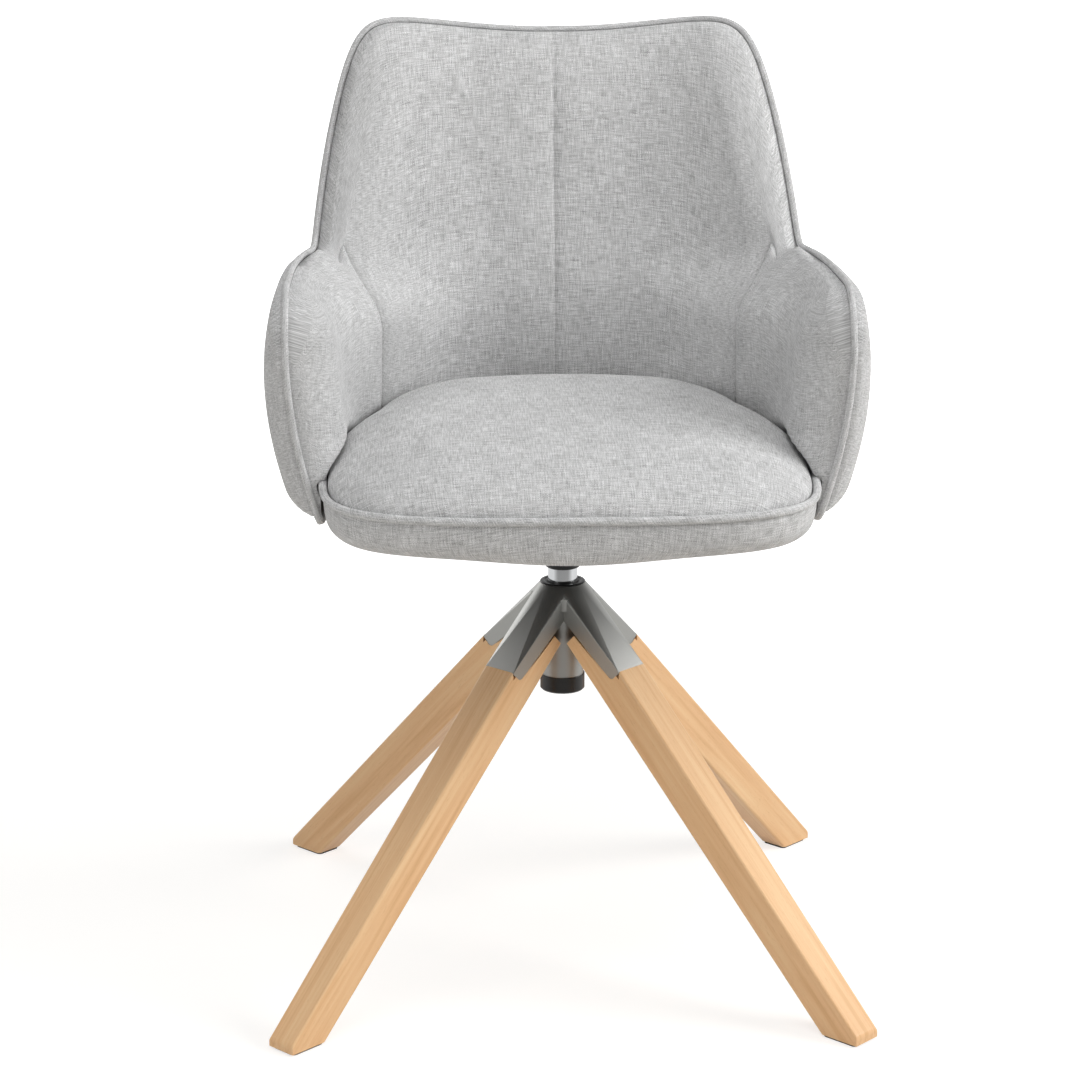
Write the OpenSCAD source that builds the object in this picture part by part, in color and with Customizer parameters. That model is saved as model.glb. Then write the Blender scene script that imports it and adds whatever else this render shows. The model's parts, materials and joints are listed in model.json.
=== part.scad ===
// Swivel dining armchair: four splayed beech legs bolted under a cast hub, a turning steel
// column in plastic bushes, and an upholstered tub seat with piped edges.
// Millimetres, +Z up. Origin on the floor under the column. The sitter faces -Y.

/* [Legs] */
// Reach of a foot from the column's axis, along the leg's diagonal
foot_reach = 371; // [360:0.5:374]
// Height at which the leg's centre line would meet the column's axis
leg_apex_z = 353.3; // [350:0.1:356]
// How far the toe reaches past the end of the leg's centre line, on the floor
toe_over = 14; // [10:0.5:18]
// Leg width where it enters the hub
leg_w_top = 37.2; // [36:0.1:38]
// Leg thickness where it enters the hub
leg_t_top = 37.4; // [36:0.1:39]
// Leg width at the foot
leg_w_foot = 30.6; // [27:0.1:33]
// Leg thickness at the foot
leg_t_foot = 33.9; // [32:0.1:36]
// Rounding of the leg's long edges
leg_arris = 2.5; // [1:0.1:4]
// Rounding of the toe
toe_r = 8; // [5:0.5:10]
// Thickness of the glide under each foot
glide_t = 2; // [1.5:0.1:4]
// How far the glide stays back from the foot's edge
glide_inset = 1.6; // [1:0.1:4]
// Radius of the glide's locating pin
glide_pin_r = 2.5; // [1.5:0.1:4]
// Length of the glide's locating pin
glide_pin_l = 12; // [6:1:18]

/* [Hub] */
// Radius of the hub's barrel
barrel_r = 20; // [19:0.1:21]
// Height of the barrel's lower end
barrel_z = 265; // [255:1:272]
// Height of the hub's top, under the bush flange
hub_top_z = 360; // [356:0.5:362]
// Radius of the hub's neck
neck_r = 21.5; // [20:0.1:23]
// Depth of the arms' sides at the neck
neck_h = 9.8; // [8:0.2:12]
// Half width of an arm at its end
arm_half_w = 17.8; // [17.5:0.1:19]
// Half width that an arm's sides would reach at the axis
arm_root_w = 19.6; // [19:0.1:21]
// Reach of an arm's upper edge from the axis
arm_reach = 87.5; // [84:0.5:92]
// Height of that edge
arm_end_z = 291.5; // [286:0.5:294]
// Depth of an arm's end over the leg's side
arm_end_depth = 14; // [11:0.5:16]
// Rounding of the arm's lower corner
arm_corner_r = 5; // [3:0.5:6]
// Wall of the arms beside the leg
arm_wall = 3; // [2.5:0.1:4]
// Wall of the arms over the leg
arm_roof = 4.5; // [3.5:0.1:5.5]
// Radius of the fillet between two arms
valley_r = 4; // [2:0.5:6]
// Radius of a bolt boss under an arm's roof
boss_r = 6.5; // [6:0.1:8]
// Height of a bolt boss
boss_h = 7; // [5:0.5:9]
// Reach of the inner leg bolt, measured at the roof
bolt_near = 60; // [58:0.5:62]
// Reach of the outer leg bolt, measured at the roof
bolt_far = 78; // [76:0.5:79]
// Shank radius of a leg bolt
leg_bolt_r = 3; // [2.5:0.5:3.5]
// Depth of the counterbore that takes a leg bolt's head
leg_bolt_sunk = 9; // [7:0.5:12]

/* [Column] */
// Outer radius of the turning tube
tube_r = 14; // [13:0.1:15]
// Wall of the tube
tube_wall = 2; // [1.5:0.1:3]
// Bore radius of the barrel, which seats the bushes
seat_bore_r = 17; // [16.5:0.1:17.5]
// Thickness of the barrel's inner floor
floor_t = 4; // [3:0.5:6]
// Height of the inner floor above the barrel's lower end
floor_rise = 10; // [9:0.5:13]
// Thickness of the thrust washer
thrust_t = 4; // [2:0.5:6]
// Length of each plain bush
bush_l = 24; // [15:1:28]
// Thickness of the upper bush's flange
flange_t = 1.6; // [1:0.1:3]
// Height of the lip inside the flange
flange_lip = 1.2; // [0.8:0.1:3]
// Length of the threaded plug in the tube's foot
plug_l = 16; // [12:1:24]
// Shank radius of the retaining bolt
keeper_r = 4; // [3:0.5:5]
// Radius of the retaining washer
keeper_washer_r = 12; // [10:0.5:13]
// Height of the black end cap
cap_h = 11; // [9:0.5:14]
// Height of the cap's skirt over the barrel
cap_skirt = 4.5; // [3:0.5:7]
// Outer radius of the end cap
cap_r = 21.2; // [20.8:0.1:22]
// Height of the seat plate's socket over the hub's top
socket_over_hub = 14.5; // [10:0.5:24]
// Outer radius of the socket at its foot
socket_r = 16.8; // [16:0.1:18]

/* [Seat frame] */
// Height of the seat board's underside
board_z = 444.7; // [436:0.1:448]
// Thickness of the seat board
board_t = 15; // [12:0.5:17]
// Side of the seat plate, left to right
plate_w = 176; // [160:1:190]
// Side of the seat plate, front to back
plate_d = 156; // [140:1:170]
// Thickness of the seat plate
plate_t = 3; // [2.5:0.1:4]
// Distance between the plate's bolts, left to right
plate_pitch_x = 150; // [140:1:156]
// Distance between the plate's bolts, front to back
plate_pitch_y = 125; // [115:1:130]
// Shank radius of the plate bolts
plate_bolt_r = 3; // [2.5:0.5:4]
// Thickness of the steel ring under the tub
ring_t = 3; // [2:0.1:4]
// Width of the lap between that ring and the board
ring_lap = 22; // [18:1:30]
// Screws along each side of the ring
ring_screws_side = 4; // [3:1:5]
// Thickness of the dust cover
dust_t = 1; // [0.6:0.1:2]

/* [Seat] */
// Half width of the seat at its widest
seat_half_w = 224.5; // [216:0.5:226]
// Distance from the axis to the seat's front edge
seat_front = 266; // [255:1:272]
// Distance from the axis to the seat's rear edge
seat_rear = 144; // [136:1:150]
// Squareness of the front half of the seat's outline, where 2 is an ellipse
seat_square = 3.5; // [2.8:0.1:4]
// Squareness of the rear half
seat_square_rear = 4.2; // [3:0.1:4.4]
// Share of its width that the seat loses towards the back
seat_taper = 0.15; // [0.12:0.01:0.18]
// Height of the piping round the seat's front
seat_line_z = 487; // [482:1:492]
// Rise of that line towards the back
seat_line_rise = 18; // [8:1:22]
// Height of the cushion's crown over its edge
crown_h = 44; // [24:1:50]
// How far the lower border tucks under at the front
tuck = 14; // [8:1:15]
// Radius of the tub's piping
pipe_r = 3.1; // [2.5:0.1:3.6]
// Radius of the seat's piping
seat_pipe_r = 3.7; // [3:0.1:4]

/* [Tub] */
// How far the tub's side lies outside the seat at the seat line
tub_over_seat = 8; // [7.5:0.5:12]
// Height at which the tub is widest
tub_wide_z = 616; // [600:1:625]
// Radius of the tub's sides in a section across
tub_belly_r = 450; // [420:5:520]
// Distance of the tub's widest line in front of the axis
tub_wide_y = 85; // [80:1:90]
// How far the tub's back lies behind the seat, at the seat line
back_over_seat = 26; // [20:1:32]
// Recline of the back from upright, in degrees
recline = 13; // [10:0.5:14]
// Squareness of the tub's plan at the seat, where 2 is an ellipse
plan_low = 2.5; // [2.3:0.1:3]
// Squareness of the tub's plan above the arms
plan_high = 4.1; // [3.4:0.1:4.4]
// Height of the piping at the middle of the back, before its corners are rounded
back_top_z = 857.7; // [830:0.1:880]
// Rise of the back's top towards its corners
back_horn = 20.3; // [8:0.1:24]
// Height of the arms
arm_z = 660.5; // [650:0.5:672]
// Drop of the arms towards the back
arm_drop = 5; // [0:0.5:10]
// Angle in plan, from straight back, at which the back's side meets the arm
notch_angle = 48; // [46:0.5:50]
// Rounding of the back's corners
horn_round = 78; // [50:1:90]
// Rounding of the inner corner between back and arm
notch_round = 10; // [6:1:20]
// Radius of the arm's front corner
arm_front_r = 60; // [52:1:64]
// Wall of the tub's inner shell
shell_t = 5; // [4:0.1:6]
// Fullness of the arm's outer side
arm_out = 26; // [20:0.5:28]
// Fullness of the back's outer side
back_out = 17; // [12:0.5:20]
// Fullness of the arm's inner pad
arm_in = 40; // [34:1:44]
// Fullness of the pads where back and arm meet
corner_in = 72; // [60:1:74]
// Fullness of the back's pad
back_in = 36; // [30:1:40]
// Depth of the sewn seams in the pads
seam_dip = 5; // [2:0.5:7]
// Rise of the pads above the piping where back and arm meet
pad_dome = 16; // [0:0.5:18]

/* [Hidden] */

// Colours
beech = "#d9b48a";
metal = "#8c8c8c";
steel = "#c8c8ca";
black = "#1c1c1c";
cloth = "#c4c4c4";
ply = "#c9a878";

// Clearances
slip = 0.05;
snug = 0.03;
free = 0.3;
bolt_gap = 0.4;
fine = 64;

// Leg directions about the column
leg_turns = [225, 315, 135, 45];

// The leg's own frame: X runs down the leg, Z out of its upper face
leg_tilt = atan(leg_apex_z/(foot_reach - toe_over));
leg_axis_b = leg_apex_z*cos(leg_tilt);
leg_head_a = -200;
foot_a = (foot_reach - leg_axis_b*sin(leg_tilt))/cos(leg_tilt);
// The blank runs on past the toe and is trimmed there
leg_foot_a = foot_a + 12;
// Spare length of a cutter outside what it cuts
past = 50;

function leg_thick(a) = leg_t_top + (leg_t_foot - leg_t_top)*(a - leg_head_a)/(foot_a - leg_head_a);
function leg_wide(a) = leg_w_top + (leg_w_foot - leg_w_top)*(a - leg_head_a)/(foot_a - leg_head_a);

// Slope of an arm's roof, from the neck to its outer edge
roof_slope = (hub_top_z - arm_end_z)/(arm_reach - neck_r);
roof_angle = atan(roof_slope);
tenon_half_w = arm_half_w - arm_wall;
// The roof's inner face starts where the neck's edge crosses the tenon's side
tenon_top_s = sqrt(neck_r*neck_r - tenon_half_w*tenon_half_w);
tenon_slope = (hub_top_z - arm_end_z)/(arm_reach - tenon_top_s);
function tenon_z(s) = arm_end_z - arm_roof/cos(roof_angle) + (arm_reach - s)*tenon_slope;
function roof_z(s) = hub_top_z - (s - neck_r)*roof_slope;
leg_start = barrel_r + 1;
bolt_reaches = [bolt_near, bolt_far];

// Heights in the column
bush_top_z = hub_top_z;
cap_z = barrel_z - cap_h;
inner_floor_z = barrel_z + floor_rise;
thrust_z = inner_floor_z + floor_t;
tube_foot_z = thrust_z + thrust_t;
socket_z = hub_top_z + socket_over_hub;
plate_z = board_z - plate_t;
tube_top_z = plate_z - 6;
keeper_washer_t = 1.6;
keeper_head_h = 5.3;
keeper_gap = 0.2;

function smooth(t) = let (c = min(1, max(0, t))) c*c*(3 - 2*c);
function mix(a, b, t) = a + (b - a)*t;
function soft_min(a, b, k) = (a + b - sqrt((a - b)*(a - b) + k*k))/2;
function soft_max(a, b, k) = (a + b + sqrt((a - b)*(a - b) + k*k))/2;
function unit(v) = v/norm(v);

// Seat outline: two half superellipses that meet at the seat's widest line, the rear one narrowing
seat_wide_y = -100;
taper_over = 160;
function seat_width_at(y) = seat_half_w*(1 - seat_taper*smooth((y - seat_wide_y)/taper_over));
function seat_depth(c) = c > 0 ? seat_rear - seat_wide_y : seat_front + seat_wide_y;
function seat_power(c) = c > 0 ? seat_square_rear : seat_square;
function seat_radius(t) =
    let (n = seat_power(cos(t)))
    pow(pow(abs(sin(t))/seat_half_w, n) + pow(abs(cos(t))/seat_depth(cos(t)), n), -1/n);
function seat_raw(t) =
    let (r = seat_radius(t), y = seat_wide_y + r*cos(t))
    [r*sin(t)*seat_width_at(y)/seat_half_w, y];
function seat_normal(t) =
    let (d = seat_raw(t + 0.5) - seat_raw(t - 0.5))
    unit([-d[1], d[0]]);
function seat_edge(t, inset) = seat_raw(t) - seat_normal(t)*inset;
// The piping's line starts to rise this far in front of the axis and is level again at the axis
line_rise_y = 200;
function seat_z(y) = seat_line_z + seat_line_rise*smooth((y + line_rise_y)/line_rise_y);
// 1 on the seat's outline, less inside it
function seat_inside(x, y) =
    let (n = seat_power(y - seat_wide_y))
    pow(abs(x)/seat_width_at(y), n) + pow(abs(y - seat_wide_y)/seat_depth(y - seat_wide_y), n);

// Tub: its middle surface is a superellipse in plan about the tub's widest line
tub_half_w = seat_half_w + tub_over_seat + pow(tub_wide_z - seat_line_z, 2)/(2*tub_belly_r);
back_y = seat_rear + back_over_seat;
front_y = -tub_wide_y;
base_z = board_z;
// The sides curve in down to the tub's foot, and the back stands straight below this height
back_low_z = 480;
function tub_w(z) =
    tub_half_w - pow(max(0, tub_wide_z - max(z, base_z)), 2)/(2*tub_belly_r);
function tub_d(z) = back_y + tub_wide_y + (max(z, back_low_z) - seat_line_z)*tan(recline);
// Height at which the plan starts to turn squarer, and over what height
plan_change_z = 500;
plan_change_h = 170;
function tub_n(z) = mix(plan_low, plan_high, smooth((z - plan_change_z)/plan_change_h));
function tub_reach(a, z) =
    pow(pow(abs(sin(a))/tub_w(z), tub_n(z)) + pow(abs(cos(a))/tub_d(z), tub_n(z)), -1/tub_n(z));

// Height of the piping at plan angle a
function top_line(a) = back_top_z + back_horn*pow(a/25, 2);
side_slope = 13.8;
function side_line(a) = arm_z + (notch_angle - a)*side_slope;
function arm_line(a) = arm_z - arm_drop*cos(a);
function rim_at(a) =
    soft_max(soft_min(top_line(a), side_line(a), horn_round), arm_line(a), notch_round);
// Steepness of the piping at plan angle a
function rim_steep(a) =
    let (z = rim_at(a))
    (rim_at(a + 0.5) - rim_at(a - 0.5))/(tub_reach(a, z)*PI/180);

// Stations round the tub: 0 at the middle of the back, 1 at the arm's front edge.
// Up to bend_q the plan turns through 90 degrees, and beyond it the front corner is an arc.
bend_q = 0.84;
function plan_angle(q) = 90*min(1, q/bend_q);
function corner_turn(q) = 90*max(0, (q - bend_q)/(1 - bend_q));
// Height of an edge that keeps inset away from the piping's line
function edge_z(q, inset) = q <= bend_q ?
    let (a = plan_angle(q)) rim_at(a) - inset*sqrt(1 + pow(rim_steep(a), 2)) :
    rim_at(90) - arm_front_r + (arm_front_r - inset)*cos(corner_turn(q));
function station_y(q, inset) = front_y - (arm_front_r - inset)*sin(corner_turn(q));
// Distance from the piping, used to round the padding
function edge_gap(q, z) =
    let (a = plan_angle(q), dz = rim_at(a) - z)
    q <= bend_q ? dz/sqrt(1 + pow(rim_steep(a), 2)) :
    let (dy = arm_front_r*(1 - sin(corner_turn(q))))
    min(dz, dy + max(0, 1 - dy/arm_front_r)*max(0, dz)*cos(corner_turn(q)));

// A point of the tub at station q and height z, moved out by off, on side 1 or -1
function tub_point(q, z, off, side, inset = 0) =
    q <= bend_q ?
    let (a = plan_angle(q), r = tub_reach(a, z) + off) [side*r*sin(a), front_y + r*cos(a), z] :
    [side*(tub_w(z) + off), station_y(q, inset), z];

// Rounded growth from 0 at the piping to 1 at distance len
function swell(gap, len) = sqrt(1 - pow(1 - min(1, max(0, gap)/len), 2));
edge_t = 2.5;
cover_edge_t = 1.4;
layer_edge = pipe_r + 0.5;

// Seat edge seen from the tub's centre at station q, found by halving
function seat_seen(a, lo, hi, n) =
    n == 0 ? (lo + hi)/2 :
    let (m = (lo + hi)/2)
    seat_inside(m*sin(a), front_y + m*cos(a)) > 1 ?
    seat_seen(a, lo, m, n - 1) : seat_seen(a, m, hi, n - 1);
function seat_reach(q) = q <= bend_q ?
    seat_seen(plan_angle(q), 0, 2*seat_half_w, 18) :
    let (y = station_y(q, 0), n = seat_power(y - seat_wide_y))
    seat_width_at(y)*pow(1 - pow(abs(y - seat_wide_y)/seat_depth(y - seat_wide_y), n), 1/n);

// Room between the tub's middle surface and the seat
seat_gap = 6.5;
function seat_room(q, z) =
    (q <= bend_q ? tub_reach(plan_angle(q), z) : tub_w(z)) - seat_reach(q) - seat_gap;

seam_q = bend_q*45/90;
// Distances over which the covers and pads round off from the piping
back_out_len = 60;
arm_out_len = 160;
back_in_len = 55;
seam_in_len = 34;
arm_in_len = 70;
// The covers are drawn in under the corner between back and arm, and at their lower hem
pinch_len = 30;
hem_len = 26;
hem_edge = 0.4;
front_edge = 1;
function out_full(q) = mix(back_out, arm_out, smooth((q - 0.42)/0.28));
function out_len(q) = mix(back_out_len, arm_out_len, smooth((q - 0.4)/0.35));
function out_off(q, z) =
    let (gap = edge_gap(q, z), lift = z - foot_z(q))
    shell_t/2 + free + cover_edge_t + (out_full(q) - cover_edge_t - shell_t/2)
        *(q <= bend_q ? swell(gap, out_len(q)) : swell(rim_at(90) - z, out_len(q))*front_swell(q))
        *(1 - 0.6*dent(q - 0.47, 0.05)*(1 - smooth(gap/pinch_len)))
        *swell(lift + hem_edge, hem_len);
// Growth of the padding behind the arm's front edge
function front_swell(q) = swell(arm_front_r*(1 - sin(corner_turn(q))) + front_edge, arm_front_r);
// Height of the tub's lower edge, which rises towards the front
foot_rise = 18;
rise_q = 0.75;
function foot_z(q) = base_z + foot_rise*smooth((q - rise_q)/(1 - rise_q));

// The pads are fullest in the corner at arm height, so that the corner stays upright.
// Each band gives the height where a change starts and the height that it takes.
fill_band = [520, 90];
ease_band = [575, 55];
thin_band = [640, 100];
function in_band(z, band) = (z - band[0])/band[1];
function corner_full(z) = corner_in*(mix(0.48, 1, min(1, max(0, in_band(z, fill_band))))
    - 0.2*smooth(in_band(z, ease_band)) - 0.25*smooth(in_band(z, thin_band)));
function in_full(q, z) =
    q < seam_q ? mix(back_in, corner_full(z), smooth(q/seam_q)) :
    mix(corner_full(z), arm_in, smooth((q - seam_q)/(0.75 - seam_q)));
function in_len(q) = q < seam_q ? mix(back_in_len, seam_in_len, q/seam_q) :
    mix(seam_in_len, arm_in_len, smooth((q - seam_q)/0.2));
function dent(d, w) = exp(-d*d/(w*w));
// The arm's pad stands a little above the piping in the corner between back and arm
function dome(q, v) = pad_dome*dent(q - seam_at(1) - 0.025, 0.035)*pow(sin(180*pow(v, 16)), 2);
function seam_dent(q, z) = let (s = seam_at((z - base_z)/(rim_at(plan_angle(q)) - base_z)))
    seam_dip*dent(q - s, 0.022) + 0.6*seam_dip*dent(q, 0.012);
// Beside the seat the pads are held back to leave it room, and above it they are free
pad_least = 1;
free_band = [511, 30];
function in_off(q, z) =
    let (gap = edge_gap(q, z),
        round = q <= bend_q ? swell(gap, in_len(q)) : swell(rim_at(90) - z, in_len(q))*front_swell(q),
        full = edge_t + (in_full(q, z) - seam_dent(q, z) - edge_t)*round,
        low = max(pad_least, min(full, seat_room(q, z) - shell_t/2 - free)))
    -shell_t/2 - free - mix(low, full, smooth(in_band(z, free_band)));

// A closed skin between two grids of points; each row runs round the tub, and rows go up.
// Left of column mid the facets' diagonals lean the other way, so that both halves match.
function grid_faces(rows, cols, first, flip, mid) = [
    for (i = [0 : rows - 2]) for (j = [0 : cols - 2])
        let (a = first + i*cols + j, b = a + 1, c = a + cols, d = c + 1,
            pair = j < mid ? [[a, b, d], [a, d, c]] : [[a, b, c], [b, d, c]])
        each flip ? [for (t = pair) [t[0], t[2], t[1]]] : pair
];
function strip_faces(a, b, flip) = [
    for (k = [0 : len(a) - 2])
        each flip ? [[a[k], b[k], a[k + 1]], [a[k + 1], b[k], b[k + 1]]] :
        [[a[k], a[k + 1], b[k]], [a[k + 1], b[k + 1], b[k]]]
];
module skin(outer, inner, flip = false, mid = 0) {
    rows = len(outer);
    cols = len(outer[0]);
    total = rows*cols;
    low = [for (j = [0 : cols - 1]) j];
    high = [for (j = [0 : cols - 1]) (rows - 1)*cols + j];
    left = [for (i = [0 : rows - 1]) i*cols];
    right = [for (i = [0 : rows - 1]) i*cols + cols - 1];
    polyhedron(
        points = concat([for (r = outer) each r], [for (r = inner) each r]),
        faces = concat(
            grid_faces(rows, cols, 0, flip, mid),
            grid_faces(rows, cols, total, !flip, mid),
            strip_faces(low, [for (k = low) k + total], !flip),
            strip_faces(high, [for (k = high) k + total], flip),
            strip_faces(left, [for (k = left) k + total], flip),
            strip_faces(right, [for (k = right) k + total], !flip)));
}

// A tube of given radius swept along a list of points
function path_dir(p, k) = unit(p[min(len(p) - 1, k + 1)] - p[max(0, k - 1)]);
function closed_dir(p, k) = unit(p[(k + 1)%len(p)] - p[(k + len(p) - 1)%len(p)]);
function ring_points(c, d, up, r, sides) =
    let (u = unit(cross(d, up)), v = cross(u, d))
    [for (s = [0 : sides - 1]) c + r*(cos(360*s/sides)*u + sin(360*s/sides)*v)];
module swept_tube(p, ups, r, sides, closed = false) {
    n = len(p);
    pts = [for (k = [0 : n - 1])
        each ring_points(p[k], closed ? closed_dir(p, k) : path_dir(p, k), ups[k], r, sides)];
    last = closed ? n - 1 : n - 2;
    walls = [for (k = [0 : last]) for (s = [0 : sides - 1])
        let (a = k*sides + s, b = k*sides + (s + 1)%sides,
            c = ((k + 1)%n)*sides + s, d = ((k + 1)%n)*sides + (s + 1)%sides)
        each [[a, b, c], [b, d, c]]];
    ends = closed ? [] : [
        [for (s = [0 : sides - 1]) sides - 1 - s],
        [for (s = [0 : sides - 1]) (n - 1)*sides + s]];
    polyhedron(points = pts, faces = concat(walls, ends));
}

// Base

module on_diagonal(turn) rotate([0, 0, turn]) children();
module in_leg() rotate([0, leg_tilt, 0]) children();

// A prism across the leg from an outline in reach and height
module across(outline, half) {
    translate([0, half, 0]) rotate([90, 0, 0]) linear_extrude(2*half) polygon(outline);
}

module rounded_slab(w, t, r) {
    rotate([90, 0, 90]) linear_extrude(0.1) hull() {
        for (x = [-1, 1]) for (y = [-1, 1])
            translate([x*(w/2 - r), y*(t/2 - r)]) circle(r, $fn = 16);
    }
}

module arm_block() {
    corner = arm_end_depth*sin(leg_tilt);
    intersection() {
        hull() {
            translate([0, 0, hub_top_z - neck_h]) cylinder(r = neck_r, h = neck_h, $fn = 48);
            across([[arm_reach, arm_end_z], [arm_reach - 1, arm_end_z - 1], [arm_reach - 1, arm_end_z]],
                arm_half_w);
            translate([arm_reach - corner, arm_half_w, arm_end_z - corner + arm_corner_r*1.42])
                rotate([90, 0, 0]) cylinder(r = arm_corner_r, h = 2*arm_half_w, $fn = 32);
        }
        translate([0, 0, barrel_z]) linear_extrude(hub_top_z - barrel_z + past) polygon([
            [0, arm_root_w], [arm_reach, arm_half_w], [arm_reach + 1, arm_half_w],
            [arm_reach + 1, -arm_half_w], [arm_reach, -arm_half_w], [0, -arm_root_w]]);
    }
}

// Space that the leg's head fills, from the barrel outwards
module tenon_space(m, side_m) {
    low_z = arm_end_z - 60;
    across([[leg_start - m, tenon_z(leg_start) + m], [arm_reach + 5, tenon_z(arm_reach + 5) + m],
        [arm_reach + 5, low_z], [leg_start - m, low_z]], tenon_half_w + side_m);
}

// Places its child on a leg bolt's line, pointing into the roof, with Z = 0 at the roof's inner face
module at_bolt(s) {
    translate([s, 0, tenon_z(s)]) rotate([0, leg_tilt, 0]) children();
}
// Depth of wood along a bolt's line
function bolt_wood(s) =
    let (b = s*sin(leg_tilt) + tenon_z(s)*cos(leg_tilt), a = s*cos(leg_tilt) - tenon_z(s)*sin(leg_tilt))
    b - (leg_axis_b - leg_thick(a)/2);

module hub_casting() {
    color(metal) difference() {
        union() {
            translate([0, 0, barrel_z]) cylinder(r = barrel_r, h = hub_top_z - barrel_z, $fn = fine);
            translate([0, 0, hub_top_z - neck_low]) cylinder(r = neck_r, h = neck_low, $fn = fine);
            for (turn = leg_turns) on_diagonal(turn) difference() {
                arm_block();
                difference() {
                    tenon_space(0, 0);
                    for (s = bolt_reaches) at_bolt(s)
                        translate([0, 0, -boss_h]) cylinder(r = boss_r, h = boss_h + 8, $fn = 32);
                }
            }
            for (k = [0 : 3]) rotate([0, 0, 45 + 90*k]) valley_web();
        }
        for (turn = leg_turns) on_diagonal(turn) for (s = bolt_reaches) at_bolt(s)
            translate([0, 0, -boss_h - 1]) cylinder(r = leg_bolt_r + slip, h = boss_h + 2, $fn = 32);
        translate([0, 0, thrust_z]) cylinder(r = seat_bore_r, h = hub_top_z, $fn = fine);
        translate([0, 0, barrel_z - 1]) cylinder(r = seat_bore_r, h = floor_rise + 1, $fn = fine);
        translate([0, 0, inner_floor_z - 1]) cylinder(r = keeper_r + 0.6, h = floor_t + 2, $fn = fine);
    }
}

// Fillet between two arms, seen as a narrow upright strip
neck_low = 17;
module valley_web() {
    // The arms' sides meet where reach and half width are equal
    edge = arm_root_w/(1 + (arm_root_w - arm_half_w)/arm_reach);
    rise = (hub_top_z - arm_end_z)/(arm_reach - sqrt(neck_r*neck_r - edge*edge));
    low = hub_top_z - edge - 2.5;
    high = hub_top_z - (edge + valley_r/2 - sqrt(neck_r*neck_r - edge*edge))*rise;
    translate([0, 0, low]) difference() {
        translate([10, 10, 0]) cube([edge - 10 + valley_r, edge - 10 + valley_r, high - low]);
        translate([edge + valley_r, edge + valley_r, -1])
            cylinder(r = valley_r, h = high - low + 2, $fn = 32);
    }
}

module leg(turn) {
    color(beech) on_diagonal(turn) difference() {
        in_leg() hull() {
            translate([leg_head_a, 0, leg_axis_b])
                rounded_slab(leg_wide(leg_head_a), leg_thick(leg_head_a), leg_arris);
            translate([leg_foot_a, 0, leg_axis_b])
                rounded_slab(leg_wide(leg_foot_a), leg_thick(leg_foot_a), leg_arris);
        }
        translate([-past, -past, -past]) cube([foot_reach + 2*past, 2*past, past + glide_t]);
        translate([leg_start - 3*past, -past, 2*past]) cube([3*past, 2*past, leg_apex_z + past]);
        toe_trim();
        // Rebates for the hub's roof and wings
        across([[0, tenon_z(0) - slip], [arm_reach, tenon_z(arm_reach) - slip],
            [arm_reach, arm_end_z + past], [0, hub_top_z + 2*past]], past);
        difference() {
            scale([1, 1.15, 1]) arm_block();
            tenon_space(0, -slip);
        }
        for (s = bolt_reaches) at_bolt(s) {
            translate([0, 0, -boss_h - slip]) cylinder(r = boss_r + slip, h = boss_h + 10, $fn = 32);
            translate([0, 0, -80]) cylinder(r = leg_bolt_r + bolt_gap, h = 90, $fn = 32);
            translate([0, 0, -bolt_wood(s) - 20])
                cylinder(r = leg_head_r + 1, h = 20 + leg_bolt_sunk, $fn = 32);
        }
        translate([glide_mid_s, 0, 0]) cylinder(r = glide_pin_r + slip, h = glide_t + glide_pin_l + 1, $fn = 32);
    }
}

// Footprint of a leg on its glide
foot_out_s = foot_reach;
foot_in_s = (leg_axis_b - leg_thick(foot_a)/2)/sin(leg_tilt) - glide_t/tan(leg_tilt);
glide_mid_s = (foot_out_s + foot_in_s)/2 - 1;
module toe_trim() {
    // The upper face runs into an upright toe through an arc
    face_s = (leg_axis_b + leg_thick(foot_a)/2)/sin(leg_tilt);
    top_z = (face_s - foot_reach)*tan(leg_tilt);
    steps = 6;
    across(concat(
        [[foot_reach + past, -past], [foot_reach, -past]],
        [for (k = [0 : steps])
            let (t = 45*k/steps)
            [foot_reach - toe_r + toe_r*cos(t), top_z - toe_r*tan(22.5) + toe_r*sin(t)]],
        [[foot_reach - past, top_z + past + 0.2], [foot_reach + past, top_z + past]]), past);
}

module foot_glides() {
    half_l = (foot_out_s - foot_in_s)/2 - glide_inset;
    half_w = leg_wide(foot_a)/2 - glide_inset;
    r = 4;
    color(black) for (turn = leg_turns) on_diagonal(turn) translate([glide_mid_s, 0, 0]) {
        linear_extrude(glide_t) union() {
            square([2*half_l, 2*half_w - 2*r], center = true);
            square([2*half_l - 2*r, 2*half_w], center = true);
            for (x = [-1, 1]) for (y = [-1, 1])
                translate([x*(half_l - r), y*(half_w - r)]) circle(r, $fn = 32);
        }
        cylinder(r = glide_pin_r, h = glide_t + glide_pin_l, $fn = 32);
    }
}

leg_head_r = 5.5;
leg_head_h = 3.3;
leg_washer_t = 1.2;
module leg_bolts() {
    color(steel) for (turn = leg_turns) on_diagonal(turn) for (s = bolt_reaches) at_bolt(s) {
        foot = -bolt_wood(s) + leg_bolt_sunk - leg_washer_t;
        difference() {
            union() {
                translate([0, 0, foot]) cylinder(r = leg_bolt_r, h = -foot + 0.5, $fn = 32);
                translate([0, 0, foot]) rotate([180, 0, 0]) rotate_extrude($fn = 32)
                    polygon([[0, 0], [leg_head_r, 0], [leg_head_r, 1], [leg_head_r - 1.6, leg_head_h],
                        [0, leg_head_h]]);
            }
            translate([0, 0, foot - leg_head_h - 1]) cylinder(r = 2.3, h = 3.2, $fn = 6);
        }
    }
}

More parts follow.
